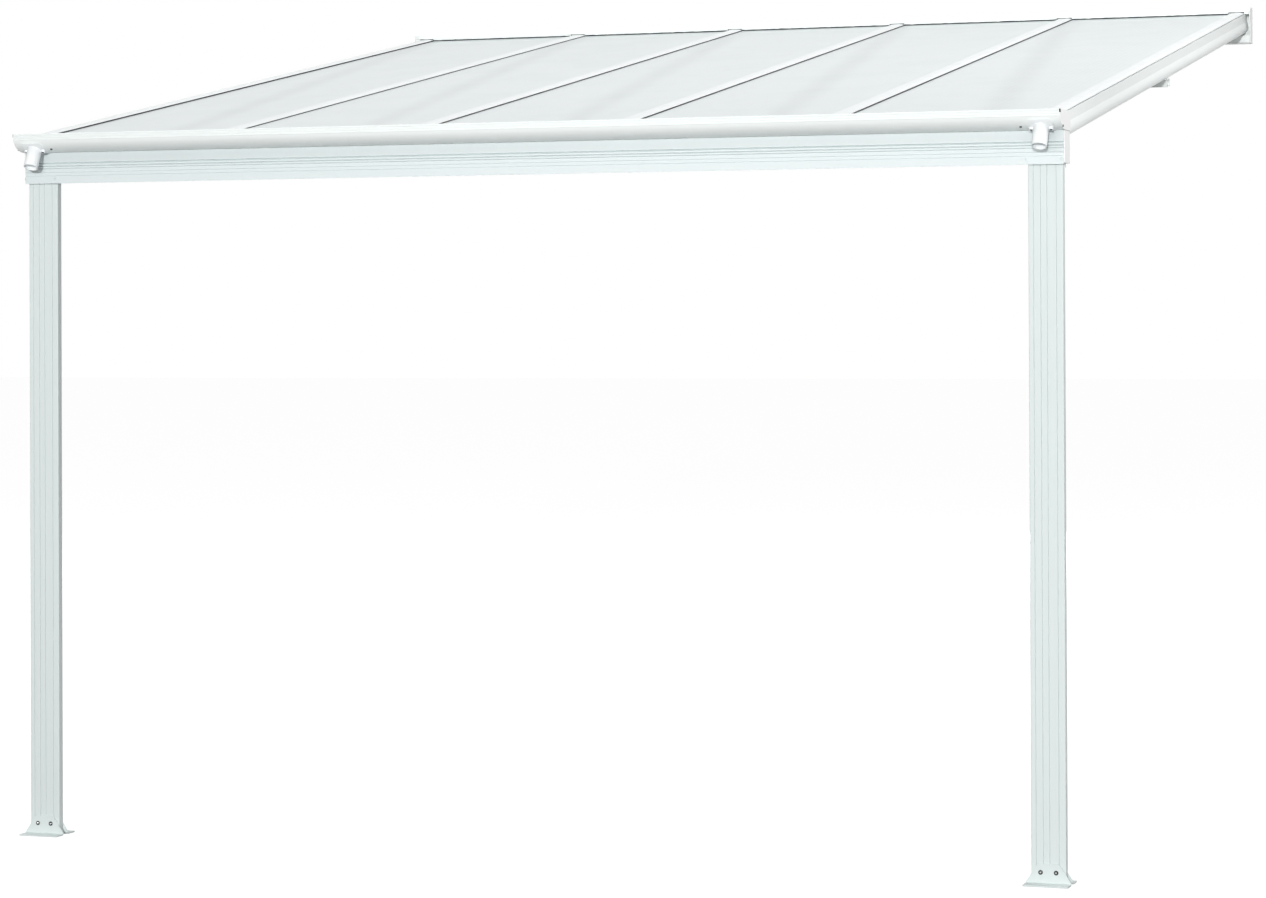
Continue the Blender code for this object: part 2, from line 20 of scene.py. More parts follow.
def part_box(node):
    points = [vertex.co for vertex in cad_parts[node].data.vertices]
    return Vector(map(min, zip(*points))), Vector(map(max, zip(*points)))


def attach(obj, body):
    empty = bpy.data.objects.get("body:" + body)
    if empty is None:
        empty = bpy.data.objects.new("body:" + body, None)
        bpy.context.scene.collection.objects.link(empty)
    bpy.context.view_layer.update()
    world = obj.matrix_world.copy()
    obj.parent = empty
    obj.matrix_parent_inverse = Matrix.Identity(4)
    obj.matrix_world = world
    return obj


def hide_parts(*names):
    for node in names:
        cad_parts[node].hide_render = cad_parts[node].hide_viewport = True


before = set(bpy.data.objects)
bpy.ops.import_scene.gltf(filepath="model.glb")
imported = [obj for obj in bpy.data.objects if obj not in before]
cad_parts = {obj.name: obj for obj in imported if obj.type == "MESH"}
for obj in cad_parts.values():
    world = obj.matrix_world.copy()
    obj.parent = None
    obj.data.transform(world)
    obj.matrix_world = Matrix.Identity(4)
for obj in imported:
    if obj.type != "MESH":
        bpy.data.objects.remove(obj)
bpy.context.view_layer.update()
LOG = logging.getLogger("patio_cover")

SLOPE = math.radians(9.72)      # fall of the roof towards the gutter
PANELS = 5
PANEL_THICK = 0.010
PANEL_CELLS = 32
GAP = 0.0003                    # clearance that the CAD keeps between parts
IMAGE_WIDE = 1266
SENSOR_WIDE = 36.0
ALONG = 0.9                     # share from which a direction counts as lying along an axis
CLOSE = 1e-6                    # distance under which two heights are one
BEYOND = 0.01                   # how far a cutting tool runs past the piece that it cuts
FULL = (0.0, 1.0)

Colour = tuple[float, float, float]
Span = tuple[float, float]
Test = Callable[[Vector, Vector], bool]
Pieces = list[bpy.types.Object]
Socket = bpy.types.NodeSocket


class Grain(Enum):
    """Direction in which a profile was drawn through its die."""

    SIDEWAYS = "sideways"
    UPHILL = "uphill"
    UPRIGHT = "upright"


class Element(Enum):
    """Kind of mesh element that a selection takes."""

    FACES = "FACE"
    EDGES = "EDGE"


class Joining(Enum):
    """What a boolean does with the piece that it uses up."""

    CUT = "DIFFERENCE"
    ADD = "UNION"
    SHARE = "INTERSECT"


class Side(Enum):
    """Hand of a piece that comes in pairs, seen from the front."""

    LEFT = -1.0
    RIGHT = 1.0

    @property
    def word(self) -> str:
        """Name of the side as the CAD nodes spell it."""
        return self.name.lower()

    def outer(self, node: str) -> float:
        """Gives where a CAD node ends on this side."""
        low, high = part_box(node)
        return high.x if self is Side.RIGHT else low.x


class Way(Enum):
    """Face of a post that a foot bracket stands against."""

    FRONT = -1.0
    BACK = 1.0

    @property
    def word(self) -> str:
        """Name of the face as the CAD nodes spell it."""
        return self.name.lower()


@dataclass(frozen=True)
class Rounding:
    """How the edges of a piece are rounded."""

    radius: float
    steps: int
    angle: float                    # least angle between two faces, in degrees


def centre_of(node: str) -> Vector:
    """Gives the middle of a CAD node's box."""
    low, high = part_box(node)
    return (low + high) / 2.0


class Bench:
    """Holds one mesh while it is shaped with Blender's own operators."""

    MERGE = 0.000005
    FLAT = math.radians(0.2)

    def __init__(self, piece: bpy.types.Object) -> None:
        """Takes the mesh object to work on.

        Args:
            piece: mesh object, in the scene's own frame.
        """
        self.piece = piece

    @staticmethod
    def clear() -> None:
        """Goes back to object mode and selects nothing."""
        active = bpy.context.view_layer.objects.active
        if active is not None and active.mode != "OBJECT":
            bpy.ops.object.mode_set(mode="OBJECT")
        bpy.ops.object.select_all(action="DESELECT")

    @classmethod
    def _from_new(cls, name: str) -> "Bench":
        """Takes the primitive that was just added and applies its place."""
        piece = bpy.context.object
        piece.name = name
        piece.data.name = name
        bench = cls(piece)
        bench.apply_place()
        return bench

    @classmethod
    def block(cls, name: str, corner: Sequence[float], opposite: Sequence[float]) -> "Bench":
        """Starts from a box between two opposite corners.

        Args:
            name: name of the piece.
            corner: any corner of the box.
            opposite: the corner across from it.

        Returns:
            The bench that holds the box.
        """
        cls.clear()
        start, stop = Vector(corner), Vector(opposite)
        size = [abs(side) for side in stop - start]
        bpy.ops.mesh.primitive_cube_add(size=1.0, location=(start + stop) / 2.0, scale=size)
        return cls._from_new(name)

    @classmethod
    def rod(cls, name: str, radius: float, start: Vector, stop: Vector, sides: int) -> "Bench":
        """Starts from a round bar between two points.

        Args:
            name: name of the piece.
            radius: radius of the bar.
            start: middle of its first end.
            stop: middle of its other end.
            sides: number of its flat sides.

        Returns:
            The bench that holds the bar.
        """
        cls.clear()
        way = stop - start
        turn = way.to_track_quat("Z", "Y").to_euler()
        bpy.ops.mesh.primitive_cylinder_add(
            vertices=sides, radius=radius, depth=way.length, location=(start + stop) / 2.0, rotation=turn
        )
        return cls._from_new(name)

    @classmethod
    def copy_of(cls, source: bpy.types.Object, name: str) -> "Bench":
        """Starts from a copy of another piece, with a mesh of its own.

        Args:
            source: object that is copied.
            name: name of the copy.

        Returns:
            The bench that holds the copy.
        """
        cls.clear()
        piece = source.copy()
        piece.data = source.data.copy()
        piece.name = name
        piece.data.name = name
        for key in [k for k in piece.keys() if k.startswith("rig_")]:
            del piece[key]
        piece.parent = None
        piece.hide_render = False
        piece.hide_viewport = False
        bpy.context.scene.collection.objects.link(piece)
        return cls(piece)

    def take(self) -> None:
        """Makes this piece the only one selected, and the active one."""
        self.clear()
        self.piece.select_set(True)
        bpy.context.view_layer.objects.active = self.piece

    def apply_place(self) -> None:
        """Moves the object's place, turn and scale into its mesh."""
        self.take()
        bpy.ops.object.transform_apply(location=True, rotation=True, scale=True)

    @contextmanager
    def editing(self) -> Iterator[None]:
        """Keeps the piece in edit mode for the length of a with block."""
        self.take()
        bpy.ops.object.mode_set(mode="EDIT")
        bpy.ops.mesh.select_all(action="DESELECT")
        yield
        bpy.ops.object.mode_set(mode="OBJECT")

    def pick(self, kind: Element, test: Test) -> None:
        """Selects faces or edges by their middle and their normal or direction.

        Args:
            kind: faces or edges.
            test: says for a middle and a unit normal, or direction, if the element is taken.
        """
        bpy.ops.mesh.select_mode(type=kind.value)
        bpy.ops.mesh.select_all(action="DESELECT")
        mesh = bmesh.from_edit_mesh(self.piece.data)
        if kind is Element.FACES:
            for face in mesh.faces:
                if test(face.calc_center_median(), face.normal):
                    face.select_set(True)
        else:
            for edge in mesh.edges:
                a, b = (v.co for v in edge.verts)
                if test((a + b) / 2.0, (b - a).normalized()):
                    edge.select_set(True)
        bmesh.update_edit_mesh(self.piece.data)

    def bevel(self, test: Test, width: float, steps: int, profile: float = 0.5) -> None:
        """Bevels the edges that a test takes.

        Args:
            test: says for a middle and a direction if an edge is taken.
            width: width of the bevel.
            steps: number of strips in it.
            profile: its fullness, 0.5 for round.
        """
        with self.editing():
            self.pick(Element.EDGES, test)
            bpy.ops.mesh.bevel(offset=width, segments=steps, profile=profile, affect="EDGES")

    def taper(self, test: Test, scale: Sequence[float]) -> None:
        """Narrows or widens the faces that a test takes, about their own middle.

        Args:
            test: says for a middle and a normal if a face is taken.
            scale: factor along each axis.
        """
        middles: list[Vector] = []

        def taken(mid: Vector, normal: Vector) -> bool:
            """Keeps the middle of each face that the test takes."""
            if test(mid, normal):
                middles.append(mid.copy())
                return True
            return False

        with self.editing():
            self.pick(Element.FACES, taken)
            centre = sum(middles, Vector()) / len(middles)
            bpy.ops.transform.resize(value=tuple(scale), center_override=tuple(centre))

    def combine(self, tool: "Bench", joining: Joining = Joining.CUT) -> None:
        """Cuts, joins or intersects with another piece, which is used up.

        Args:
            tool: bench with the other piece.
            joining: what is done with it.
        """
        self.take()
        step = self.piece.modifiers.new("combine", "BOOLEAN")
        step.object = tool.piece
        step.operation = joining.value
        step.solver = "EXACT"
        bpy.ops.object.modifier_apply(modifier=step.name)
        bpy.data.objects.remove(tool.piece)

    def round_edges(self, rounding: Rounding) -> None:
        """Rounds every edge that is sharper than an angle.

        Args:
            rounding: width, strips and least angle.
        """
        self.take()
        step = self.piece.modifiers.new("round", "BEVEL")
        step.width = rounding.radius
        step.segments = rounding.steps
        step.limit_method = "ANGLE"
        step.angle_limit = math.radians(rounding.angle)
        step.harden_normals = False
        bpy.ops.object.modifier_apply(modifier=step.name)

    def tidy(self) -> None:
        """Merges loose triangles into a clean closed mesh with its normals outwards."""
        with self.editing():
            bpy.ops.mesh.select_mode(type="VERT")
            bpy.ops.mesh.select_all(action="SELECT")
            bpy.ops.mesh.remove_doubles(threshold=self.MERGE)
            bpy.ops.mesh.dissolve_limited(angle_limit=self.FLAT)
            bpy.ops.mesh.normals_make_consistent(inside=False)

    def place(self, matrix: Matrix) -> None:
        """Moves and turns the mesh by a matrix.

        Args:
            matrix: place and turn in the scene's frame.
        """
        self.piece.matrix_world = matrix
        self.apply_place()

    def done(self, finish: bpy.types.Material, slot: str = "", smooth: float = 32.0) -> bpy.types.Object:
        """Shades the piece, gives it its material and lets it ride on the frame.

        Args:
            finish: material of the whole piece.
            slot: not used.
            smooth: angle in degrees under which faces are shaded smooth.

        Returns:
            The finished object.
        """
        self.apply_place()
        bpy.ops.object.shade_smooth_by_angle(angle=math.radians(smooth))
        even = self.piece.modifiers.new("even", "WEIGHTED_NORMAL")
        even.keep_sharp = True
        bpy.ops.object.modifier_apply(modifier=even.name)
        dress(self.piece, finish)
        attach(self.piece, "root")
        self.clear()
        return self.piece


def dress(piece: bpy.types.Object, finish: bpy.types.Material) -> None:
    """Puts one material in every slot of an object.

    Args:
        piece: mesh object.
        finish: material to use.
    """
    if not piece.material_slots:
        piece.data.materials.append(finish)
    for place in piece.material_slots:
        place.material = finish


def facing(point: Vector, normal: Vector) -> Matrix:
    """Gives the place of a part that is modelled upwards from the origin.

    Args:
        point: where the part's foot goes.
        normal: direction in which the part stands out.

    Returns:
        The matrix that puts it there.
    """
    return Matrix.Translation(point) @ normal.to_track_quat("Z", "Y").to_matrix().to_4x4()


@dataclass(frozen=True)
class RoofPlane:
    """Upper face of the roof sheets, a plane that falls towards the gutter."""

    slope: float = SLOPE

    @property
    def outwards(self) -> Vector:
        """Unit normal of the sheets' upper face."""
        return Vector((0.0, -math.sin(self.slope), math.cos(self.slope)))

    @property
    def top(self) -> Vector:
        """Upper rear corner line of the sheets, at the middle of the cover."""
        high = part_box("roof_panel_3")[1]
        return Vector((0.0, high.y - PANEL_THICK * math.sin(self.slope), high.z))

    def at(self, x: float, y: float, above: float = 0.0) -> Vector:
        """Gives a point on the plane or above it.

        Args:
            x: place across the cover.
            y: place in front of the wall.
            above: height over the plane, along its normal.

        Returns:
            The point.
        """
        top = self.top
        on_plane = Vector((x, y, top.z + (y - top.y) * math.tan(self.slope)))
        return on_plane + self.outwards * above

    def lay(self, bench: Bench, x: float, y: float, above: float) -> None:
        """Turns a piece that is modelled along Y to the slope and puts it on the sheets.

        Args:
            bench: bench that holds the piece.
            x: place of its origin across the cover.
            y: place of its origin in front of the wall.
            above: height of its origin over the sheets.
        """
        start = self.at(x, y, above)
        bench.place(Matrix.Translation(start) @ Matrix.Rotation(self.slope, 4, "X"))


@dataclass(frozen=True)
class GutterFront:
    """Round front of the gutter, a quarter of an ellipse from its lip to the beam."""

    reach: float = 0.066
    drop: float = 0.0427

    @property
    def middle(self) -> Vector:
        """Centre of the ellipse."""
        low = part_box("gutter")[0]
        return Vector((0.0, low.y + self.reach, low.z + self.drop))

    def at(self, x: float, share: float, off: float = 0.0) -> tuple[Vector, Vector]:
        """Gives a point on the curve and the way out of it.

        Args:
            x: place along the gutter.
            share: share of the quarter, from the lip to the beam.
            off: distance outside the curve.

        Returns:
            The point and the unit normal.
        """
        angle = share * math.pi / 2.0
        middle = self.middle
        normal = Vector((0.0, -math.cos(angle) / self.reach, -math.sin(angle) / self.drop)).normalized()
        point = Vector((x, middle.y - self.reach * math.cos(angle), middle.z - self.drop * math.sin(angle)))
        return point + normal * off, normal


class Sheet:
    """Lays out the nodes of one tree."""

    def __init__(self, tree: bpy.types.NodeTree) -> None:
        """Empties a tree and takes it over.

        Args:
            tree: node tree of a material, a world or a group.
        """
        self.tree = tree
        tree.nodes.clear()

    def add(self, kind: str, values: dict[str, object] | None = None, **settings: object) -> bpy.types.Node:
        """Adds a node.

        Args:
            kind: Blender's name of the node type.
            values: sockets or plain values by the name of the input.
            settings: properties of the node itself.

        Returns:
            The new node.
        """
        node = self.tree.nodes.new(kind)
        for key, value in settings.items():
            setattr(node, key, value)
        for key, value in (values or {}).items():
            self.feed(value, node.inputs[key])
        node.location = (200.0 * len(self.tree.nodes), 0.0)
        return node

    def join(self, start: Socket, stop: Socket) -> None:
        """Links two sockets."""
        self.tree.links.new(start, stop)

    def feed(self, value: object, place: Socket) -> None:
        """Links a socket to an input, or writes a plain value there."""
        if isinstance(value, Socket):
            self.join(value, place)
        else:
            place.default_value = value

    def maths(self, operation: str, *inputs: object) -> Socket:
        """Adds a math node whose inputs are sockets or numbers.

        Args:
            operation: name of the operation.
            inputs: its sockets or plain numbers in order.

        Returns:
            The result's socket.
        """
        node = self.add("ShaderNodeMath", operation=operation)
        for place, value in zip(node.inputs, inputs):
            self.feed(value, place)
        return node.outputs[0]

    def vectors(self, operation: str, first: object, second: object) -> Socket:
        """Adds a vector math node.

        Args:
            operation: name of the operation.
            first: its first socket or vector.
            second: its second socket or vector.

        Returns:
            The result's socket.
        """
        node = self.add("ShaderNodeVectorMath", operation=operation)
        self.feed(first, node.inputs[0])
        self.feed(second, node.inputs[1])
        return node.outputs[0]

    def split(self, vector: Socket) -> bpy.types.NodeOutputs:
        """Takes a vector apart and gives its X, Y and Z sockets."""
        return self.add("ShaderNodeSeparateXYZ", {"Vector": vector}).outputs

    def ramp(self, value: Socket, span: Span, to: Span) -> Socket:
        """Maps a value smoothly from one range to another.

        Args:
            value: socket that is mapped.
            span: range that comes in.
            to: range that goes out.

        Returns:
            The mapped socket.
        """
        node = self.add("ShaderNodeMapRange", {"Value": value}, interpolation_type="SMOOTHSTEP")
        node.inputs["From Min"].default_value, node.inputs["From Max"].default_value = span
        node.inputs["To Min"].default_value, node.inputs["To Max"].default_value = to
        return node.outputs["Result"]

    def noise(self, vector: Socket, scale: object, detail: float, roughness: float) -> Socket:
        """Adds a cloudy pattern.

        Args:
            vector: coordinates that it reads.
            scale: how many spots it has in a metre, as a socket or a number.
            detail: number of finer layers.
            roughness: strength of the finer layers.

        Returns:
            The socket of its strength.
        """
        values = {"Vector": vector, "Scale": scale, "Detail": detail, "Roughness": roughness}
        return self.add("ShaderNodeTexNoise", values).outputs["Fac"]

    def mix(self, first: Socket | Colour, second: Colour, share: Socket) -> Socket:
        """Mixes two colours.

        Args:
            first: colour where the share is 0, as a socket or three numbers.
            second: colour where the share is 1.
            share: socket of the share.

        Returns:
            The mixed colour's socket.
        """
        node = self.add("ShaderNodeMix", data_type="RGBA")
        self.feed(first if isinstance(first, Socket) else (*first, 1.0), node.inputs["A"])
        self.feed((*second, 1.0), node.inputs["B"])
        self.join(share, node.inputs["Factor"])
        return node.outputs["Result"]

    def bump(self, height: Socket, depth: float, under: Socket | None = None) -> Socket:
        """Adds relief to a surface.

        Args:
            height: socket of the relief's height, from 0 to 1.
            depth: its depth in metres.
            under: normal of the relief that it lies on, if there is one.

        Returns:
            The normal's socket.
        """
        node = self.add("ShaderNodeBump", {"Height": height, "Strength": 1.0, "Distance": depth})
        if under is not None:
            self.join(under, node.inputs["Normal"])
        return node.outputs["Normal"]


class Group:
    """A shader node group that several finishes share."""

    def __init__(self, name: str, inputs: dict[str, str], outputs: dict[str, str]) -> None:
        """Makes the empty group with its sockets.

        Args:
            name: name of the group.
            inputs: kind of socket by name.
            outputs: kind of socket by name.
        """
        self.tree = bpy.data.node_groups.new(name, "ShaderNodeTree")
        for words, way in ((inputs, "INPUT"), (outputs, "OUTPUT")):
            for label, kind in words.items():
                self.tree.interface.new_socket(name=label, in_out=way, socket_type="NodeSocket" + kind)
        self.sheet = Sheet(self.tree)
        self.given = self.sheet.add("NodeGroupInput").outputs
        self.result = self.sheet.add("NodeGroupOutput").inputs

    def give(self, label: str, value: Socket) -> None:
        """Puts a value out of the group under one of its names."""
        self.sheet.join(value, self.result[label])

    def put_in(self, sheet: Sheet, values: dict[str, object]) -> bpy.types.NodeOutputs:
        """Places the group in a material.

        Args:
            sheet: the material's node layout.
            values: sockets or plain values by the input's name.

        Returns:
            The group node's outputs.
        """
        return sheet.add("ShaderNodeGroup", values, node_tree=self.tree).outputs


class Effects:
    """The shared effects: sprayed coat, drawn metal, settled dust, the sheets' cells and a band of painted
    shade on the sheets.
    """

    CLOUD = (0.3, 0.7)              # range in which most of a noise pattern lies
    BROAD = 0.06                    # coarse pattern's scale against the fine one's

    def __init__(self) -> None:
        """Builds each group once."""
        self.coat = self._coat()
        self.drawn = self._drawn()
        self.dust = self._dust()
        self.cells = self._cells()
        self.shade_band = self._shade_band()

    def _coat(self) -> Group:
        """Gives the fine orange peel of a sprayed and baked coat."""
        group = Group(
            "coat_peel", {"Vector": "Vector", "Size": "Float"}, {"Height": "Float", "Gloss": "Float"}
        )
        sheet, vector, size = group.sheet, group.given["Vector"], group.given["Size"]
        fine = sheet.noise(vector, sheet.maths("DIVIDE", 1.0, size), 2.0, 0.45)
        broad = sheet.noise(vector, sheet.maths("DIVIDE", self.BROAD, size), 3.0, 0.55)
        group.give("Height", fine)
        group.give("Gloss", sheet.ramp(broad, self.CLOUD, FULL))
        return group

    def _drawn(self) -> Group:
        """Gives the faint long lines that a die leaves on an extruded profile."""
        group = Group("die_lines", {"Vector": "Vector", "Stretch": "Vector"}, {"Lines": "Float"})
        sheet = group.sheet
        scaled = sheet.vectors("MULTIPLY", group.given["Vector"], group.given["Stretch"])
        group.give("Lines", sheet.ramp(sheet.noise(scaled, 1.0, 3.0, 0.6), self.CLOUD, FULL))
        return group

    @staticmethod
    def _dust() -> Group:
        """Gives where a thin film of dust lies: most on faces that look up, in soft patches."""
        group = Group("settled_dust", {"Vector": "Vector", "Patch": "Float"}, {"Mask": "Float"})
        sheet = group.sheet
        shape = sheet.add("ShaderNodeNewGeometry").outputs["Normal"]
        upward = sheet.ramp(sheet.split(shape)["Z"], (-0.2, 1.0), (0.25, 1.0))
        scale = sheet.maths("DIVIDE", 1.0, group.given["Patch"])
        cloud = sheet.noise(group.given["Vector"], scale, 5.0, 0.6)
        group.give("Mask", sheet.maths("MULTIPLY", upward, sheet.ramp(cloud, (0.35, 0.75), FULL)))
        return group

    @staticmethod
    def _cells() -> Group:
        """Gives the webs between the cells of a multiwall sheet, as thin lines up the slope."""
        group = Group(
            "sheet_cells",
            {"Vector": "Vector", "Start": "Float", "Pitch": "Float", "Web": "Float"},
            {"Web": "Float", "Bulge": "Float"},
        )
        sheet, pitch = group.sheet, group.given["Pitch"]
        across = sheet.maths("SUBTRACT", sheet.split(group.given["Vector"])["X"], group.given["Start"])
        share = sheet.maths("FRACT", sheet.maths("DIVIDE", across, pitch))
        off = sheet.maths("ABSOLUTE", sheet.maths("SUBTRACT", share, 0.5))
        from_web = sheet.maths("SUBTRACT", 0.5, off)
        width = sheet.maths("DIVIDE", group.given["Web"], pitch)
        web = sheet.maths("SUBTRACT", 1.0, sheet.maths("DIVIDE", from_web, width))
        group.give("Web", sheet.ramp(web, FULL, FULL))
        group.give("Bulge", sheet.ramp(from_web, (0.0, 0.5), FULL))
        return group

    @staticmethod
    def _shade_band() -> Group:
        """Gives a soft slanting band across a sheet, where a darker colour is painted in as shade."""
        group = Group(
            "painted_shade_band",
            {"Vector": "Vector", "Middle": "Vector", "Slant": "Float", "Width": "Float"},
            {"Band": "Float"},
        )
        sheet = group.sheet
        moved = sheet.split(sheet.vectors("SUBTRACT", group.given["Vector"], group.given["Middle"]))
        leaning = sheet.maths("MULTIPLY", moved["Y"], group.given["Slant"])
        off = sheet.maths("ABSOLUTE", sheet.maths("SUBTRACT", moved["X"], leaning))
        share = sheet.maths("DIVIDE", off, group.given["Width"])
        group.give("Band", sheet.ramp(share, FULL, (1.0, 0.0)))
        return group


class Surface:
    """A material with one Principled shader, while its nodes are laid out."""

    def __init__(self, name: str) -> None:
        """Starts the material.

        Args:
            name: name of the material.
        """
        self.material = bpy.data.materials.new(name)
        self.material.use_nodes = True
        self.sheet = Sheet(self.material.node_tree)
        out = self.sheet.add("ShaderNodeOutputMaterial")
        self.shader = self.sheet.add("ShaderNodeBsdfPrincipled")
        self.sheet.join(self.shader.outputs[0], out.inputs["Surface"])
        self.place = self.sheet.add("ShaderNodeTexCoord").outputs["Object"]

    def even(self, values: dict[str, float]) -> None:
        """Sets what is the same all over the surface on the shader's own sockets."""
        for label, value in values.items():
            self.shader.inputs[label].default_value = value

    def finished(self, colour: Socket, roughness: Socket, normal: Socket) -> bpy.types.Material:
        """Links what changes over the surface.

        Args:
            colour: socket of the colour.
            roughness: socket of the roughness.
            normal: socket of the normal.

        Returns:
            The finished material.
        """
        for label, value in (("Base Color", colour), ("Roughness", roughness), ("Normal", normal)):
            self.sheet.join(value, self.shader.inputs[label])
        return self.material


class Finish(Protocol):
    """What every finish can do."""

    def build(self, effects: Effects) -> bpy.types.Material:
        """Makes the material.

        Args:
            effects: the shared node groups.

        Returns:
            The material.
        """
        ...


STRETCH = {
    Grain.SIDEWAYS: (0.25, 420.0, 420.0),
    Grain.UPHILL: (420.0, 0.25, 420.0),
    Grain.UPRIGHT: (420.0, 420.0, 0.25),
}


@dataclass(frozen=True)
class PowderCoat:
    """White powder coat on a drawn aluminium profile."""

    name: str
    grain: Grain
    colour: Colour
    dusty: Colour
    shine: Span = (0.30, 0.42)
    peel: float = 0.0018
    peel_depth: float = 0.000022
    line_depth: float = 0.000010
    patch: float = 0.35
    dust_share: float = 0.45
    mirror: float = 0.5
    runoff: Colour | None = None    # painted shade under the gutter: darker colour of the coat above the height that follows
    runoff_from: float = 0.0
    runoff_edge: float = 0.003      # half the height over which that painted shade fades in

    def build(self, effects: Effects) -> bpy.types.Material:
        """Makes the material.

        Args:
            effects: the shared node groups.

        Returns:
            The material.
        """
        surface = Surface(self.name)
        sheet, place = surface.sheet, surface.place
        surface.even({"Specular IOR Level": self.mirror})
        local = place
        if self.grain is Grain.UPHILL:
            turned = sheet.add("ShaderNodeMapping", {"Vector": place, "Rotation": (-SLOPE, 0.0, 0.0)})
            local = turned.outputs["Vector"]
        peel = effects.coat.put_in(sheet, {"Vector": place, "Size": self.peel})
        lines = effects.drawn.put_in(sheet, {"Vector": local, "Stretch": STRETCH[self.grain]})
        dust = effects.dust.put_in(sheet, {"Vector": place, "Patch": self.patch})
        colour = sheet.mix(self.colour, self.dusty, sheet.maths("MULTIPLY", dust["Mask"], self.dust_share))
        # Painted shade: above a given height the coat takes a darker colour, for the gutter's shade on the
        # beam's top band.
        if self.runoff is not None:
            span = (self.runoff_from - self.runoff_edge, self.runoff_from + self.runoff_edge)
            colour = sheet.mix(colour, self.runoff, sheet.ramp(sheet.split(place)["Z"], span, FULL))
        roughness = sheet.ramp(peel["Gloss"], FULL, self.shine)
        drawn = sheet.bump(lines["Lines"], self.line_depth)
        return surface.finished(colour, roughness, sheet.bump(peel["Height"], self.peel_depth, drawn))


@dataclass(frozen=True)
class MouldedSkin:
    """Injection moulded white plastic, with a fine spark texture and a little dust."""

    name: str
    colour: Colour = (0.885, 0.915, 0.925)
    worn: Colour = (0.855, 0.880, 0.895)
    shine: Span = (0.34, 0.46)
    peel: float = 0.0009
    peel_depth: float = 0.00002
    patch: float = 0.05
    mirror: float = 0.5

    def build(self, effects: Effects) -> bpy.types.Material:
        """Makes the material.

        Args:
            effects: the shared node groups.

        Returns:
            The material.
        """
        surface = Surface(self.name)
        sheet = surface.sheet
        surface.even({"Specular IOR Level": self.mirror})
        peel = effects.coat.put_in(sheet, {"Vector": surface.place, "Size": self.peel})
        dust = effects.dust.put_in(sheet, {"Vector": surface.place, "Patch": self.patch})
        return surface.finished(
            sheet.mix(self.colour, self.worn, dust["Mask"]),
            sheet.ramp(peel["Gloss"], FULL, self.shine),
            sheet.bump(peel["Height"], self.peel_depth),
        )


@dataclass(frozen=True)
class DarkRubber(MouldedSkin):
    """Black sealing rubber with a dull, slightly uneven skin and a pale bloom."""

    colour: Colour = (0.030, 0.031, 0.033)
    worn: Colour = (0.060, 0.062, 0.064)
    shine: Span = (0.55, 0.72)
    peel: float = 0.0012
    peel_depth: float = 0.00005
    patch: float = 0.03
    mirror: float = 0.22


@dataclass(frozen=True)
class OpalSheet:
    """Milky multiwall polycarbonate of one roof sheet."""

    name: str
    start: float
    pitch: float
    middle: Vector
    colour: Colour = (0.640, 0.688, 0.692)
    web_colour: Colour = (0.614, 0.661, 0.665)
    # colour of the painted shade band
    band_colour: Colour = (0.572, 0.614, 0.618)
    shine: Span = (0.30, 0.34)
    web: float = 0.0030
    web_share: float = 0.8
    bulge: float = 0.00025
    patch: float = 0.22
    band_slant: float = -0.14
    band_width: float = 0.075
    let_through: float = 0.08
    index: float = 1.58

    def build(self, effects: Effects) -> bpy.types.Material:
        """Makes the material.

        Args:
            effects: the shared node groups.

        Returns:
            The material.
        """
        surface = Surface(self.name)
        sheet, place = surface.sheet, surface.place
        surface.even({"Transmission Weight": self.let_through, "IOR": self.index})
        cells = effects.cells.put_in(
            sheet, {"Vector": place, "Start": self.start, "Pitch": self.pitch, "Web": self.web}
        )
        band = effects.shade_band.put_in(
            sheet,
            {"Vector": place, "Middle": self.middle, "Slant": self.band_slant, "Width": self.band_width},
        )
        dust = effects.dust.put_in(sheet, {"Vector": place, "Patch": self.patch})
        # Painted shade: a soft slanting band across each sheet is darker.
        shaded_tint = sheet.mix(self.colour, self.band_colour, band["Band"])
        return surface.finished(
            sheet.mix(shaded_tint, self.web_colour, sheet.maths("MULTIPLY", cells["Web"], self.web_share)),
            sheet.ramp(dust["Mask"], FULL, self.shine),
            sheet.bump(cells["Bulge"], self.bulge),
        )


@dataclass(frozen=True)
class TurnedSteel:
    """Zinc plated or blackened steel of the screws, with fine turning marks."""

    name: str
    colour: Colour
    tarnish: Colour
    shine: Span
    peel: float = 0.0007
    peel_depth: float = 0.00001

    def build(self, effects: Effects) -> bpy.types.Material:
        """Makes the material.

        Args:
            effects: the shared node groups.

        Returns:
            The material.
        """
        surface = Surface(self.name)
        sheet = surface.sheet
        surface.even({"Metallic": 1.0})
        peel = effects.coat.put_in(sheet, {"Vector": surface.place, "Size": self.peel})
        return surface.finished(
            sheet.mix(self.colour, self.tarnish, peel["Gloss"]),
            sheet.ramp(peel["Height"], Effects.CLOUD, self.shine),
            sheet.bump(peel["Height"], self.peel_depth),
        )


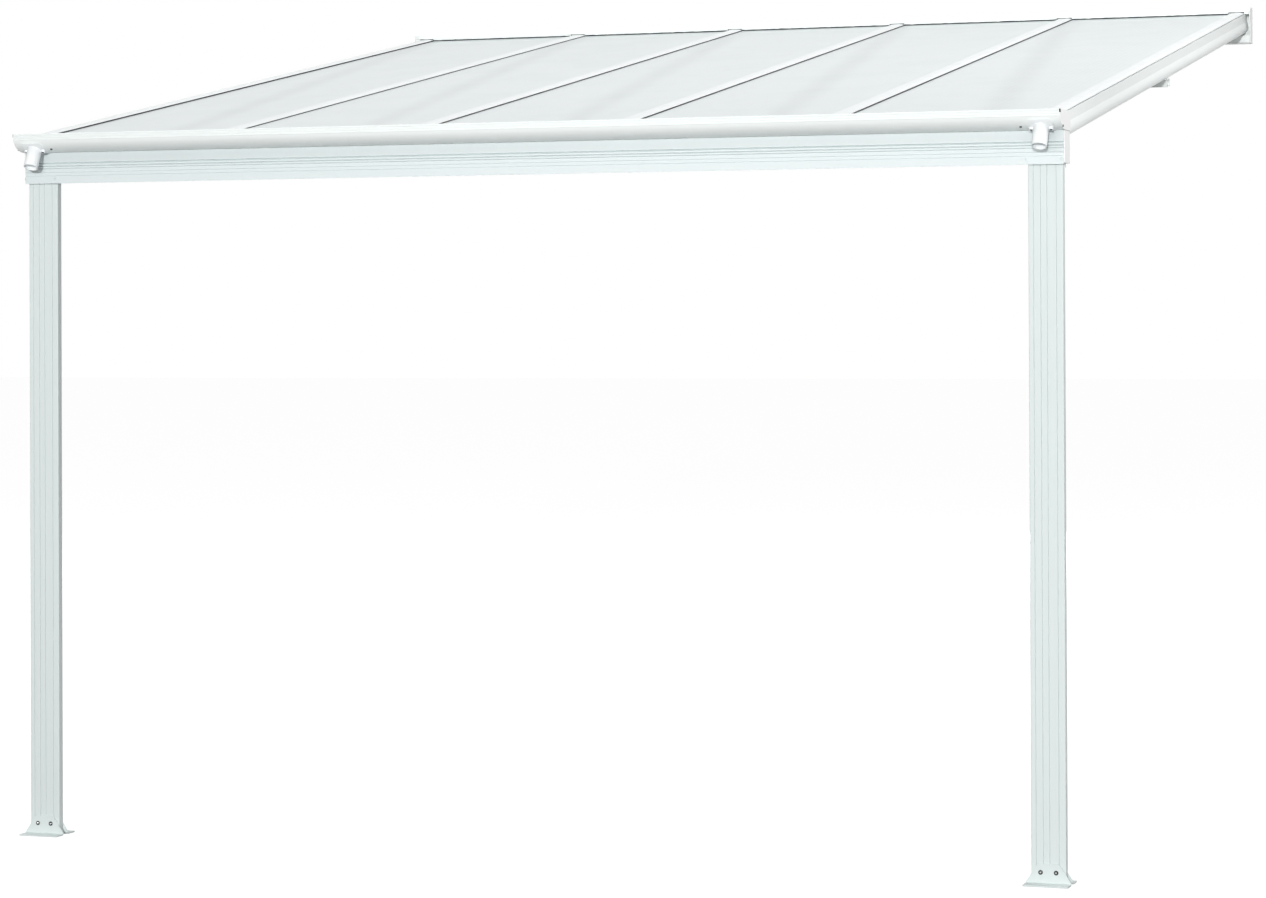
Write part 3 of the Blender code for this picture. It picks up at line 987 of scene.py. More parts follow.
class Palette:
    """All finishes of the cover, built once."""

    # Painted light and shade: the one white coat of the profiles gets its own tone on each kind of part,
    # brighter on the gutter, wall profile, cross bar and rafters, darker on the beam, posts, feet, cap
    # strips and gutter beads.
    BRIGHT: Colour = (0.900, 0.943, 0.932)
    DULL: Colour = (0.872, 0.910, 0.900)
    RUNOFF_RISE = 0.0600            # start of the beam's band of painted shade under the gutter, over its underside
    BAND_ACROSS = 0.33              # middle of the band of painted shade, as a share of the sheet's width
    BAND_Y = -1.36

    def __init__(self, effects: Effects) -> None:
        """Builds the materials.

        Args:
            effects: the shared node groups.
        """
        self.effects = effects
        across, uphill, upright = Grain.SIDEWAYS, Grain.UPHILL, Grain.UPRIGHT
        # The beam's coat is painted darker over its top band, as the gutter's shade.
        self.across = self._make(PowderCoat(
            "powder_coat_sideways", across, (0.712, 0.774, 0.777), (0.688, 0.745, 0.748),
            runoff=(0.627, 0.681, 0.684), runoff_from=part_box("front_beam")[0].z + self.RUNOFF_RISE,
        ))
        self.beads = self._make(PowderCoat(
            "powder_coat_beads", across, (0.868, 0.910, 0.900), (0.842, 0.880, 0.870), mirror=0.25
        ))
        self.gutter = self._make(PowderCoat("powder_coat_gutter", across, self.BRIGHT, self.DULL))
        self.uphill = self._make(PowderCoat("powder_coat_uphill", uphill, self.BRIGHT, self.DULL))
        self.strips = self._make(PowderCoat(
            "powder_coat_strips", uphill, (0.728, 0.757, 0.757), (0.704, 0.732, 0.732)
        ))
        self.caps = self._make(MouldedSkin("cap_white", (0.935, 0.940, 0.940), (0.900, 0.910, 0.910)))
        self.upright = self._make(PowderCoat(
            "powder_coat_upright", upright, (0.710, 0.778, 0.768), (0.684, 0.749, 0.738),
            patch=0.5, mirror=0.2,
        ))
        self.moulding = self._make(MouldedSkin("white_moulding"))
        self.rubber = self._make(DarkRubber("sealing_rubber"))
        self.zinc = self._make(TurnedSteel(
            "zinc_steel", (0.62, 0.62, 0.61), (0.42, 0.42, 0.41), (0.22, 0.38)
        ))
        self.black_steel = self._make(TurnedSteel(
            "black_steel", (0.10, 0.10, 0.11), (0.05, 0.05, 0.055), (0.35, 0.5)
        ))

    def _make(self, finish: Finish) -> bpy.types.Material:
        """Builds one finish with the shared effects."""
        return finish.build(self.effects)

    def opal(self, number: int) -> bpy.types.Material:
        """Makes the finish of one roof sheet, with its webs where the sheet has its cells.

        Args:
            number: the sheet's number from the left.

        Returns:
            The material.
        """
        low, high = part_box(f"roof_panel_{number}")
        wide = high.x - low.x
        middle = Vector((low.x + self.BAND_ACROSS * wide, self.BAND_Y, 0.0))
        return self._make(OpalSheet(f"opal_sheet_{number}", low.x, wide / PANEL_CELLS, middle))


@dataclass
class PanScrew:
    """A pan head screw with a cross recess, modelled upwards from the origin."""

    name: str
    head: float
    rise: float
    finish: bpy.types.Material
    washer: float = 0.0
    washer_rise: float = 0.0012
    washer_finish: bpy.types.Material | None = None
    rim: float = 0.4                # share of the width outside which an edge belongs to the rim
    dome: float = 0.62              # share of the rise that is domed
    dish: float = 0.08              # width of the top's inset, as a share of the head
    lift: float = 0.04              # its rise, as a share of the head
    arm: float = 0.30               # length and half width of the recess's arms, and its depth
    arm_half: float = 0.045
    sink: float = 0.55

    def __post_init__(self) -> None:
        """Models the head and, where there is one, the washer."""
        foot = self.washer_rise if self.washer else 0.0
        self.master = self._model_head(foot)
        self.washer_master = self._model_washer() if self.washer else None

    def _model_head(self, foot: float) -> bpy.types.Object:
        """Models the domed head with its cross recess.

        Args:
            foot: height at which the head starts.

        Returns:
            The master object.
        """
        top = foot + self.rise
        bench = Bench.rod(self.name, self.head / 2.0, Vector((0.0, 0.0, foot)), Vector((0.0, 0.0, top)), 24)
        rim = self.rim * self.head
        dome = self.dome * self.rise
        bench.bevel(lambda mid, way: mid.z > top - CLOSE and mid.xy.length > rim, dome, 4, 0.6)
        with bench.editing():
            bench.pick(Element.FACES, lambda mid, normal: mid.z > top - CLOSE and normal.z > ALONG)
            bpy.ops.mesh.inset(thickness=self.dish * self.head, depth=self.lift * self.head)
        arm, half = self.arm * self.head, self.arm_half * self.head
        low, high = top - self.sink * self.rise, top + self.rise
        cross = Bench.block("recess", (-arm, -half, low), (arm, half, high))
        cross.combine(Bench.block("recess_arm", (-half, -arm, low), (half, arm, high)), Joining.ADD)
        bench.combine(cross)
        bench.piece.hide_render = True
        return bench.piece

    def _model_washer(self) -> bpy.types.Object:
        """Models the flat washer with a rounded rim."""
        top = Vector((0.0, 0.0, self.washer_rise))
        bench = Bench.rod(self.name + "_washer", self.washer / 2.0, Vector(), top, 28)
        rim = self.rim * self.washer
        bench.bevel(lambda mid, way: mid.z > top.z - CLOSE and mid.xy.length > rim, 0.5 * top.z, 2)
        bench.piece.hide_render = True
        return bench.piece

    def drive(self, name: str, point: Vector, normal: Vector, turn: float) -> Pieces:
        """Puts one screw on a surface.

        Args:
            name: name of the piece.
            point: where it goes in.
            normal: direction in which the head stands out.
            turn: how far the recess is turned, in degrees.

        Returns:
            The screw and, where there is one, its washer.
        """
        where = facing(point, normal) @ Matrix.Rotation(math.radians(turn), 4, "Z")
        bench = Bench.copy_of(self.master, name)
        bench.place(where)
        made = [bench.done(self.finish)]
        if self.washer_master is not None:
            ring = Bench.copy_of(self.washer_master, name + "_washer")
            ring.place(where)
            made.append(ring.done(self.washer_finish))
        return made

    def put_away(self) -> None:
        """Removes the masters once every copy is made."""
        for master in filter(None, (self.master, self.washer_master)):
            bpy.data.objects.remove(master)


@dataclass
class SoftenedParts:
    """CAD profiles that are copied, merged and given the small radii of a coated edge."""

    edges: Rounding = Rounding(0.0006, 2, 40.0)

    def build(self, node: str, finish: bpy.types.Material) -> bpy.types.Object:
        """Makes the softened copy of one node and lets it stand for it.

        Args:
            node: name of the CAD node.
            finish: material of the copy.

        Returns:
            The finished copy.
        """
        bench = Bench.copy_of(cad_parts[node], node + "_finished")
        bench.tidy()
        bench.round_edges(self.edges)
        piece = bench.done(finish, "white_powder_coat")
        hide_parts(node)
        return piece


@dataclass
class FrontBeam:
    """Grooved front beam with the small lip along its lower edge."""

    finish: bpy.types.Material
    lip_drop: float = 0.0035
    lip_depth: float = 0.0030
    groove_floor: float = 0.08      # width of a groove's floor against its mouth
    mouth: float = 0.002            # how far a groove's tool stands in front of the face
    edges: Rounding = Rounding(0.0005, 2, 25.0)
    grooves: tuple[tuple[float, float, float], ...] = (     # height, width and depth
        (0.0555, 0.0058, 0.0066),
        (0.0470, 0.0042, 0.0050),
        (0.0402, 0.0034, 0.0036),
        (0.0290, 0.0024, 0.0018),
        (0.0190, 0.0024, 0.0016),
    )

    def build(self) -> Pieces:
        """Models the beam, which stands for its CAD node.

        Returns:
            The finished beam.
        """
        low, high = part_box("front_beam")
        bench = Bench.block("front_beam_finished", low, high)
        lip = Bench.block(
            "lip",
            (low.x, low.y, low.z - self.lip_drop),
            (high.x, low.y + self.lip_depth, low.z + self.lip_depth),
        )
        bench.combine(lip, Joining.ADD)
        for height, wide, deep in self.grooves:
            z = low.z + height
            tool = Bench.block(
                "groove",
                (low.x - BEYOND, low.y - self.mouth, z - wide / 2.0),
                (high.x + BEYOND, low.y + deep, z + wide / 2.0),
            )
            tool.taper(lambda mid, normal: normal.y > ALONG, (1.0, 1.0, self.groove_floor))
            bench.combine(tool)
        bench.round_edges(self.edges)
        piece = bench.done(self.finish, "white_powder_coat")
        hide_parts("front_beam")
        return [piece]


@dataclass
class Posts:
    """The two flat posts with drawn grooves on their broad faces."""

    finish: bpy.types.Material
    wide: float = 0.0034
    deep: float = 0.0026
    groove_floor: float = 0.2       # width of a groove's floor against its mouth
    mouth: float = 0.002            # how far a groove's tool stands in front of the face
    round_off: float = 0.0028
    edges: Rounding = Rounding(0.0004, 2, 25.0)
    places: tuple[float, ...] = (-0.0330, -0.0137, 0.0036, 0.0290)

    def build(self) -> Pieces:
        """Models both posts, which stand for their CAD nodes.

        Returns:
            The finished posts.
        """
        return [self._post(f"post_{side.word}") for side in Side]

    def _post(self, node: str) -> bpy.types.Object:
        """Models one post.

        Args:
            node: CAD node that it stands for.

        Returns:
            The finished post.
        """
        low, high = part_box(node)
        bench = Bench.block(node + "_finished", low, high)
        bench.bevel(lambda mid, way: abs(way.z) > ALONG, self.round_off, 4)
        middle = (low.x + high.x) / 2.0
        for place in self.places:
            x = middle + place
            for face, inner in ((low.y, 1.0), (high.y, -1.0)):
                tool = Bench.block(
                    "groove",
                    (x - self.wide / 2.0, face - inner * self.mouth, low.z - BEYOND),
                    (x + self.wide / 2.0, face + inner * self.deep, high.z + BEYOND),
                )
                tool.taper(
                    lambda mid, normal, inner=inner: normal.y * inner > ALONG, (self.groove_floor, 1.0, 1.0)
                )
                bench.combine(tool)
        bench.round_edges(self.edges)
        piece = bench.done(self.finish, "white_powder_coat")
        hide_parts(node)
        return piece


@dataclass
class Feet:
    """The four foot brackets: a tapered plate on the post and a flange bent on to the ground."""

    finish: bpy.types.Material
    thick: float = 0.0040
    reach: float = 0.0470
    bend: float = 0.0045
    corner: float = 0.0070
    undercut: float = 0.86          # length of the flange's underside against its top
    shoulder: float = 0.0060        # height at which the plate's slanting sides end
    top_wide: float = 0.0580
    play: float = 0.001             # how far the outline stands past the plate and the flange
    edges: Rounding = Rounding(0.0010, 3, 50.0)

    def build(self) -> Pieces:
        """Models the brackets, which stand for their CAD nodes.

        Returns:
            The finished brackets.
        """
        return [self._bracket(f"foot_{side.word}_{way.word}", way.value) for side in Side for way in Way]

    def _bracket(self, node: str, way: float) -> bpy.types.Object:
        """Models one bracket.

        Args:
            node: CAD node that it stands for.
            way: -1 for a flange that points forwards, 1 for one that points to the rear.

        Returns:
            The finished bracket.
        """
        low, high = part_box(node)
        post = high.y if way < 0.0 else low.y
        tip, face = post + way * self.reach, post + way * self.thick
        floor = low.z + self.thick
        bench = Bench.block(node + "_finished", (low.x, post, low.z), (high.x, tip, high.z))
        bench.combine(
            Bench.block(
                "room",
                (low.x - BEYOND, face, floor),
                (high.x + BEYOND, tip + way * BEYOND, high.z + BEYOND),
            )
        )
        bench.combine(self._outline(low, high, post, way), Joining.SHARE)
        near = 1e-4
        bench.bevel(
            lambda mid, line: abs(line.x) > ALONG and abs(mid.y - face) < near and abs(mid.z - floor) < near,
            self.bend,
            5,
        )
        bench.round_edges(self.edges)
        piece = bench.done(self.finish, "white_powder_coat")
        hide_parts(node)
        return piece

    def _outline(self, low: Vector, high: Vector, post: float, way: float) -> Bench:
        """Models the outline that the bracket is cut to.

        Args:
            low: lowest corner of the CAD bracket.
            high: its highest corner.
            post: face of the post.
            way: -1 for forwards, 1 for the rear.

        Returns:
            The bench that holds the outline.
        """
        back, front = post - way * self.play, post + way * (self.reach + self.play)
        shoulder = low.z + self.shoulder
        upper = Bench.block("outline", (low.x, back, shoulder), (high.x, front, high.z))
        upper.taper(lambda mid, normal: normal.z > ALONG, (self.top_wide / (high.x - low.x), 1.0, 1.0))
        lower = Bench.block("lower", (low.x, back, low.z), (high.x, front, shoulder))
        face = post + way * self.thick
        lower.bevel(lambda mid, line: abs(line.z) > ALONG and way * (mid.y - face) > 0.01, self.corner, 5)
        lower.taper(lambda mid, normal: normal.z < -ALONG, (1.0, self.undercut, 1.0))
        upper.combine(lower, Joining.ADD)
        return upper


@dataclass
class GutterBeads:
    """The drawn beads along the upper front of the gutter."""

    finish: bpy.types.Material
    curve: GutterFront
    proud: float = 0.0015
    rooted: float = 0.0014          # how deep a bead's back lies in the gutter's wall
    rounding: float = 0.6           # bevel of a bead's front, as a share of how proud it stands
    beads: tuple[Span, ...] = ((0.0030, 0.0056), (0.0105, 0.0060), (0.0175, 0.0046))    # drop, height

    def build(self) -> Pieces:
        """Models the beads.

        Returns:
            The finished beads.
        """
        low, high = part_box("gutter")
        made = []
        for number, (drop, rise) in enumerate(self.beads, start=1):
            z = high.z - drop
            below = max(0.0, self.curve.middle.z - z)
            share = math.asin(below / self.curve.drop) / (math.pi / 2.0)
            front = self.curve.at(0.0, share)[0].y
            bench = Bench.block(
                f"gutter_bead_{number}",
                (low.x, front - self.proud, z - rise / 2.0),
                (high.x, front + self.rooted, z + rise / 2.0),
            )
            bench.bevel(
                lambda mid, way: abs(way.x) > ALONG and mid.y < front, self.rounding * self.proud, 3
            )
            made.append(bench.done(self.finish, "white_powder_coat"))
        return made


@dataclass
class Outlets:
    """The two moulded outlets: a saddle on the gutter's round front and a spout that leans forwards."""

    finish: bpy.types.Material
    screw_finish: bpy.types.Material
    curve: GutterFront
    tilt: float = math.radians(25.0)
    outer: float = 0.0208
    inner: float = 0.0182
    length: float = 0.076
    nose_up: float = 0.0095         # middle of the mouth above the lowest point of the CAD outlet
    nose_back: float = 0.0190       # middle of the mouth behind its foremost point
    saddle_half: float = 0.0350
    saddle_thick: float = 0.0030
    saddle_corner: float = 0.0075
    top_share: float = 0.92         # width of the saddle's top against its foot
    start: float = 0.27             # shares of the gutter's curve between which the saddle lies
    stop: float = 0.93
    steps: int = 14
    section: float = 0.0001         # height of the section that is spun
    off_curve: float = 0.001        # where over the curve the saddle's outline is taken
    outline_under: float = 0.001
    outline_over: float = 0.0005
    outline_half: float = 0.2
    boss_spread: float = 0.0268
    boss_radius: float = 0.0064
    boss_rise: float = 0.0085
    boss_share: float = 0.64
    sink_radius: float = 0.0042
    sink: float = 0.0016
    sink_play: float = 0.002
    turns: Span = (55.0, 95.0)      # of the two screws' recesses, in degrees
    room_half: float = 0.06         # half the width of the room that is cut free
    room_deep: float = 0.08
    beam_room: Span = (-0.09, 0.03)     # heights from the curve's middle
    upper_room: float = 0.05
    edges: Rounding = Rounding(0.0008, 3, 35.0)
    smooth: float = 40.0

    def build(self) -> Pieces:
        """Models both outlets, which stand for their CAD nodes, and their screws.

        Returns:
            The finished outlets and screws.
        """
        screw = PanScrew("outlet_screw", 0.0066, 0.0022, self.screw_finish)
        made = []
        for side in Side:
            made += self._outlet(side, screw)
        screw.put_away()
        return made

    def _outlet(self, side: Side, screw: PanScrew) -> Pieces:
        """Models one outlet.

        Args:
            side: left or right.
            screw: the screw that holds it.

        Returns:
            The finished outlet and its screws.
        """
        node = f"outlet_{side.word}"
        low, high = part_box(node)
        x = (low.x + high.x) / 2.0
        mouth = Vector((x, low.y + self.nose_back, low.z + self.nose_up))
        up = Vector((0.0, math.sin(self.tilt), math.cos(self.tilt)))
        root = mouth + up * self.length
        bench = self._saddle(x)
        bench.combine(Bench.rod("spout", self.outer, mouth, root, 64), Joining.ADD)
        screws = []
        for number, (side_sign, turn) in enumerate(zip((-1.0, 1.0), self.turns), start=1):
            foot, normal = self.curve.at(x + side_sign * self.boss_spread, self.boss_share, GAP)
            tip = foot + normal * self.boss_rise
            bench.combine(Bench.rod("boss", self.boss_radius, foot, tip, 32), Joining.ADD)
            floor = tip - normal * self.sink
            bench.combine(Bench.rod("sink", self.sink_radius, floor, tip + normal * self.sink_play, 32))
            screws += screw.drive(f"{node}_screw_{number}", floor, normal, turn)
        bench.combine(self._kept_free(x))
        bench.combine(Bench.rod("bore", self.inner, mouth - up * BEYOND, root + up * BEYOND, 64))
        bench.round_edges(self.edges)
        piece = bench.done(self.finish, "white_moulding", self.smooth)
        piece.name = node + "_finished"
        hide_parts(node)
        return [piece] + screws

    def _saddle(self, x: float) -> Bench:
        """Spins the saddle's section round the gutter's front and rounds its outline.

        Args:
            x: middle of the saddle.

        Returns:
            The bench that holds the saddle.
        """
        middle = self.curve.middle
        axis = (x, middle.y, middle.z)
        back = middle.y - self.curve.reach - GAP - self.saddle_thick
        left, right = x - self.saddle_half, x + self.saddle_half
        front = back + self.saddle_thick
        bench = Bench.block("saddle", (left, back, middle.z - self.section), (right, front, middle.z))
        with bench.editing():
            bench.pick(Element.FACES, lambda mid, normal: normal.z > -ALONG)
            bpy.ops.mesh.delete(type="FACE")
            bpy.ops.mesh.select_all(action="SELECT")
            bpy.ops.transform.rotate(
                value=-self.start * math.pi / 2.0, orient_axis="X", center_override=axis
            )
            sweep = (self.start - self.stop) * math.pi / 2.0
            bpy.ops.mesh.spin(steps=self.steps, angle=sweep, center=axis, axis=(1.0, 0.0, 0.0))
            bpy.ops.mesh.select_all(action="SELECT")
            bpy.ops.transform.resize(
                value=(1.0, 1.0, self.curve.drop / self.curve.reach), center_override=axis
            )
            bpy.ops.mesh.normals_make_consistent(inside=False)
        foot = self.curve.at(x, self.stop, self.off_curve)[0].z - self.outline_under
        top = self.curve.at(x, self.start, self.off_curve)[0].z + self.outline_over
        before, behind = middle.y - self.outline_half, middle.y + self.outline_half
        outline = Bench.block("outline", (left, before, foot), (right, behind, top))
        outline.taper(lambda mid, normal: normal.z > ALONG, (self.top_share, 1.0, 1.0))
        outline.bevel(lambda mid, way: abs(way.y) > ALONG, self.saddle_corner, 6)
        bench.combine(outline, Joining.SHARE)
        return bench

    def _kept_free(self, x: float) -> Bench:
        """Models the room of the gutter and the beam, which the outlet leaves free.

        Args:
            x: middle of the outlet.

        Returns:
            The bench that holds the room.
        """
        middle = self.curve.middle
        reach, drop = self.curve.reach + GAP, self.curve.drop + GAP
        left, right = x - self.room_half, x + self.room_half
        room = Bench.rod(
            "room", reach, Vector((left, middle.y, middle.z)), Vector((right, middle.y, middle.z)), 96
        )
        with room.editing():
            bpy.ops.mesh.select_all(action="SELECT")
            bpy.ops.transform.resize(
                value=(1.0, 1.0, drop / reach), center_override=(x, middle.y, middle.z)
            )
        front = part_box("front_beam")[0].y - GAP
        back = front + self.room_deep
        low, high = (middle.z + height for height in self.beam_room)
        for name, corner, opposite in (
            ("beam_room", (left, front, low), (right, back, high)),
            ("upper_room", (left, middle.y - reach, middle.z), (right, back, middle.z + self.upper_room)),
        ):
            room.combine(Bench.block(name, corner, opposite), Joining.ADD)
        return room


@dataclass
class LipPlugs:
    """The small dark plugs that close the gutter's hollow lip at both ends."""

    finish: bpy.types.Material
    wide: float = 0.0028
    left_share: float = 0.4
    proud: float = 0.0006
    deep: float = 0.0085
    rise: float = 0.0095
    below: float = 0.0004           # top of the plugs under the lip's top
    edges: Rounding = Rounding(0.0008, 3, 40.0)

    def build(self) -> Pieces:
        """Models both plugs.

        Returns:
            The finished plugs.
        """
        made = []
        low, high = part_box("gutter")
        top, front = high.z - self.below, low.y - self.proud
        for side in Side:
            outer = side.outer(f"gutter_cap_{side.word}") + side.value * self.proud
            share = 1.0 if side is Side.RIGHT else self.left_share
            inner = outer - side.value * share * self.wide
            bench = Bench.block(
                f"lip_plug_{side.word}", (inner, front, top - self.rise), (outer, front + self.deep, top)
            )
            bench.round_edges(self.edges)
            made.append(bench.done(self.finish))
        return made


@dataclass
class HoodSeals:
    """The seals under the wall profile's hood: a white lip and dark rubber behind it in every bay."""

    roof: RoofPlane
    rubber: bpy.types.Material
    coat: bpy.types.Material
    lip_thick: float = 0.0022
    lip_over_sheet: float = 0.0046
    lip_below_top: float = 0.0184   # top of the seals under the wall profile's top
    set_back: float = 0.0002
    rubber_y: float = -0.0470
    rubber_thick: float = 0.0035
    rubber_over_sheet: float = 0.0010
    rubber_wave: float = 0.0004
    side_play: float = 0.0012
    end_deep: float = 0.0045
    end_over_sheet: float = 0.0012
    end_edges: Rounding = Rounding(0.0004, 2, 40.0)
    waves: int = 36
    wave: float = 0.0013

    def _strip(
        self, name: str, low: Vector, high: Vector, wave: float, seed: int, finish: bpy.types.Material
    ) -> bpy.types.Object:
        """Models one strip with slight waves along its lower edge.

        Args:
            name: name of the piece.
            low: its lowest corner.
            high: its highest corner.
            wave: how far the lower edge wanders.
            seed: number that makes its waves its own.
            finish: material of the strip.

        Returns:
            The finished strip.
        """
        bench = Bench.block(name, low, high)
        with bench.editing():
            bench.pick(Element.EDGES, lambda mid, way: abs(way.x) > ALONG)
            bpy.ops.mesh.subdivide(number_cuts=self.waves)
            bench.pick(Element.EDGES, lambda mid, way: abs(way.x) > ALONG and mid.z < low.z + 1e-5)
            bpy.ops.transform.vertex_random(offset=wave, uniform=0.0, normal=0.0, seed=seed)
        return bench.done(finish)

    def build(self) -> Pieces:
        """Models both strips of every sheet and the fillers at the hood's ends.

        Returns:
            The finished strips.
        """
        made = []
        wall_low, wall_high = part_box("wall_profile")
        front, top = wall_low.y, wall_high.z - self.lip_below_top
        lip_foot = self.roof.at(0.0, front).z + self.lip_over_sheet
        rubber_foot = self.roof.at(0.0, self.rubber_y).z + self.rubber_over_sheet
        for number in range(1, PANELS + 1):
            left = Side.RIGHT.outer(f"cap_strip_{number}") + self.side_play
            right = Side.LEFT.outer(f"cap_strip_{number + 1}") - self.side_play
            low = Vector((left, front + self.set_back, lip_foot))
            high = Vector((right, front + self.lip_thick, top))
            made.append(self._strip(f"hood_lip_{number}", low, high, self.wave, number, self.coat))
            low = Vector((left, self.rubber_y, rubber_foot))
            high = Vector((right, self.rubber_y + self.rubber_thick, top))
            seed = number + 10
            made.append(
                self._strip(f"hood_rubber_{number}", low, high, self.rubber_wave, seed, self.rubber)
            )
        return made + self._ends(front, top)

    def _ends(self, front: float, top: float) -> Pieces:
        """Models the fillers between the outer cap strips and the wall profile's caps.

        Args:
            front: front of the hood.
            top: upper edge of the fillers.

        Returns:
            The finished fillers.
        """
        made = []
        foot = self.roof.at(0.0, front).z + self.end_over_sheet
        for side, number in ((Side.LEFT, 1), (Side.RIGHT, PANELS + 1)):
            inner = side.outer(f"cap_strip_{number}") + side.value * GAP
            outer = side.outer("wall_profile") - side.value * GAP
            bench = Bench.block(
                f"hood_end_{side.word}",
                (inner, front + self.set_back, foot),
                (outer, front + self.end_deep, top),
            )
            bench.round_edges(self.end_edges)
            made.append(bench.done(self.coat))
        return made


@dataclass
class EdgeSeals:
    """The thin dark seals along the outer edges of the first and last cap strip."""

    roof: RoofPlane
    finish: bpy.types.Material
    wide: float = 0.0012
    rise: float = 0.0008
    right_share: float = 0.45       # the right seal lies deeper beside its strip
    rounding: float = 0.3           # bevel of the top's edges, as a share of the height
    front_back: float = 0.026
    left_back: float = 0.064
    end_back: float = 0.002

    def build(self) -> Pieces:
        """Models both seals.

        Returns:
            The finished seals.
        """
        made = []
        for side, number in ((Side.LEFT, 1), (Side.RIGHT, PANELS + 1)):
            low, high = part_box(f"cap_strip_{number}")
            share, back = (1.0, self.left_back) if side is Side.LEFT else (self.right_share, self.front_back)
            rise, front = share * self.rise, low.y + back
            near = side.outer(f"cap_strip_{number}") + side.value * GAP
            far = near + side.value * share * self.wide
            length = (high.y - self.end_back - front) / math.cos(self.roof.slope)
            bench = Bench.block(f"edge_seal_{side.word}", (near, 0.0, 0.0), (far, length, rise))
            bench.bevel(
                lambda mid, way: mid.z > ALONG * rise and abs(way.y) > ALONG, self.rounding * rise, 2
            )
            self.roof.lay(bench, 0.0, front, 2.0 * GAP)
            made.append(bench.done(self.finish))
        return made


@dataclass
class GlazingSeals:
    """The rubber beads between the cap strips and the roof sheets; the larger right beads also stand in for
    the shadow beside each strip.
    """

    roof: RoofPlane
    finish: bpy.types.Material
    width: float = 0.0027
    rise: float = 0.0027
    off: float = 0.6                # middle of a bead beside its strip, as a share of its width
    rounding: float = 0.5           # bevel of the top's edges, as a share of half the width
    tucked: float = 0.3             # size of the left beads against the right ones, which are larger so that their dark rubber also stands in for the shadow beside each strip
    front_back: float = 0.010
    first_back: float = 0.050       # start of the first strip's bead, further back
    end_back: float = 0.002
    # sizes of the right beads, strip by strip, partly real rubber and partly painted shade
    shares: tuple[float, ...] = (1.25, 0.7, 1.0, 1.0, 1.0)

    def _bead(self, name: str, x: float, start: float, stop: float, share: float) -> bpy.types.Object:
        """Models one bead along a cap strip's edge.

        Args:
            name: name of the piece.
            x: middle of the bead.
            start: y of its front end.
            stop: y of its rear end.
            share: its size against the full bead.

        Returns:
            The finished bead.
        """
        length = (stop - start) / math.cos(self.roof.slope)
        half, rise = share * self.width / 2.0, share * self.rise
        bench = Bench.block(name, (-half, 0.0, 0.0), (half, length, rise))
        bench.bevel(lambda mid, way: mid.z > ALONG * rise and abs(way.y) > ALONG, self.rounding * half, 3)
        self.roof.lay(bench, x, start, GAP)
        return bench.done(self.finish)

    def build(self) -> Pieces:
        """Models the beads on both sides of every strip that has a sheet beside it.

        Returns:
            The finished beads.
        """
        made = []
        for number in range(1, PANELS + 2):
            low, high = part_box(f"cap_strip_{number}")
            start, stop = low.y + self.front_back, high.y - self.end_back
            if number <= PANELS:
                share = self.shares[number - 1]
                x = high.x + self.off * share * self.width
                front = low.y + self.first_back if number == 1 else start
                made.append(self._bead(f"glazing_seal_{number}_right", x, front, stop, share))
            if number > 1:
                x = low.x - self.off * self.tucked * self.width
                made.append(self._bead(f"glazing_seal_{number}_left", x, start, stop, self.tucked))
        return made


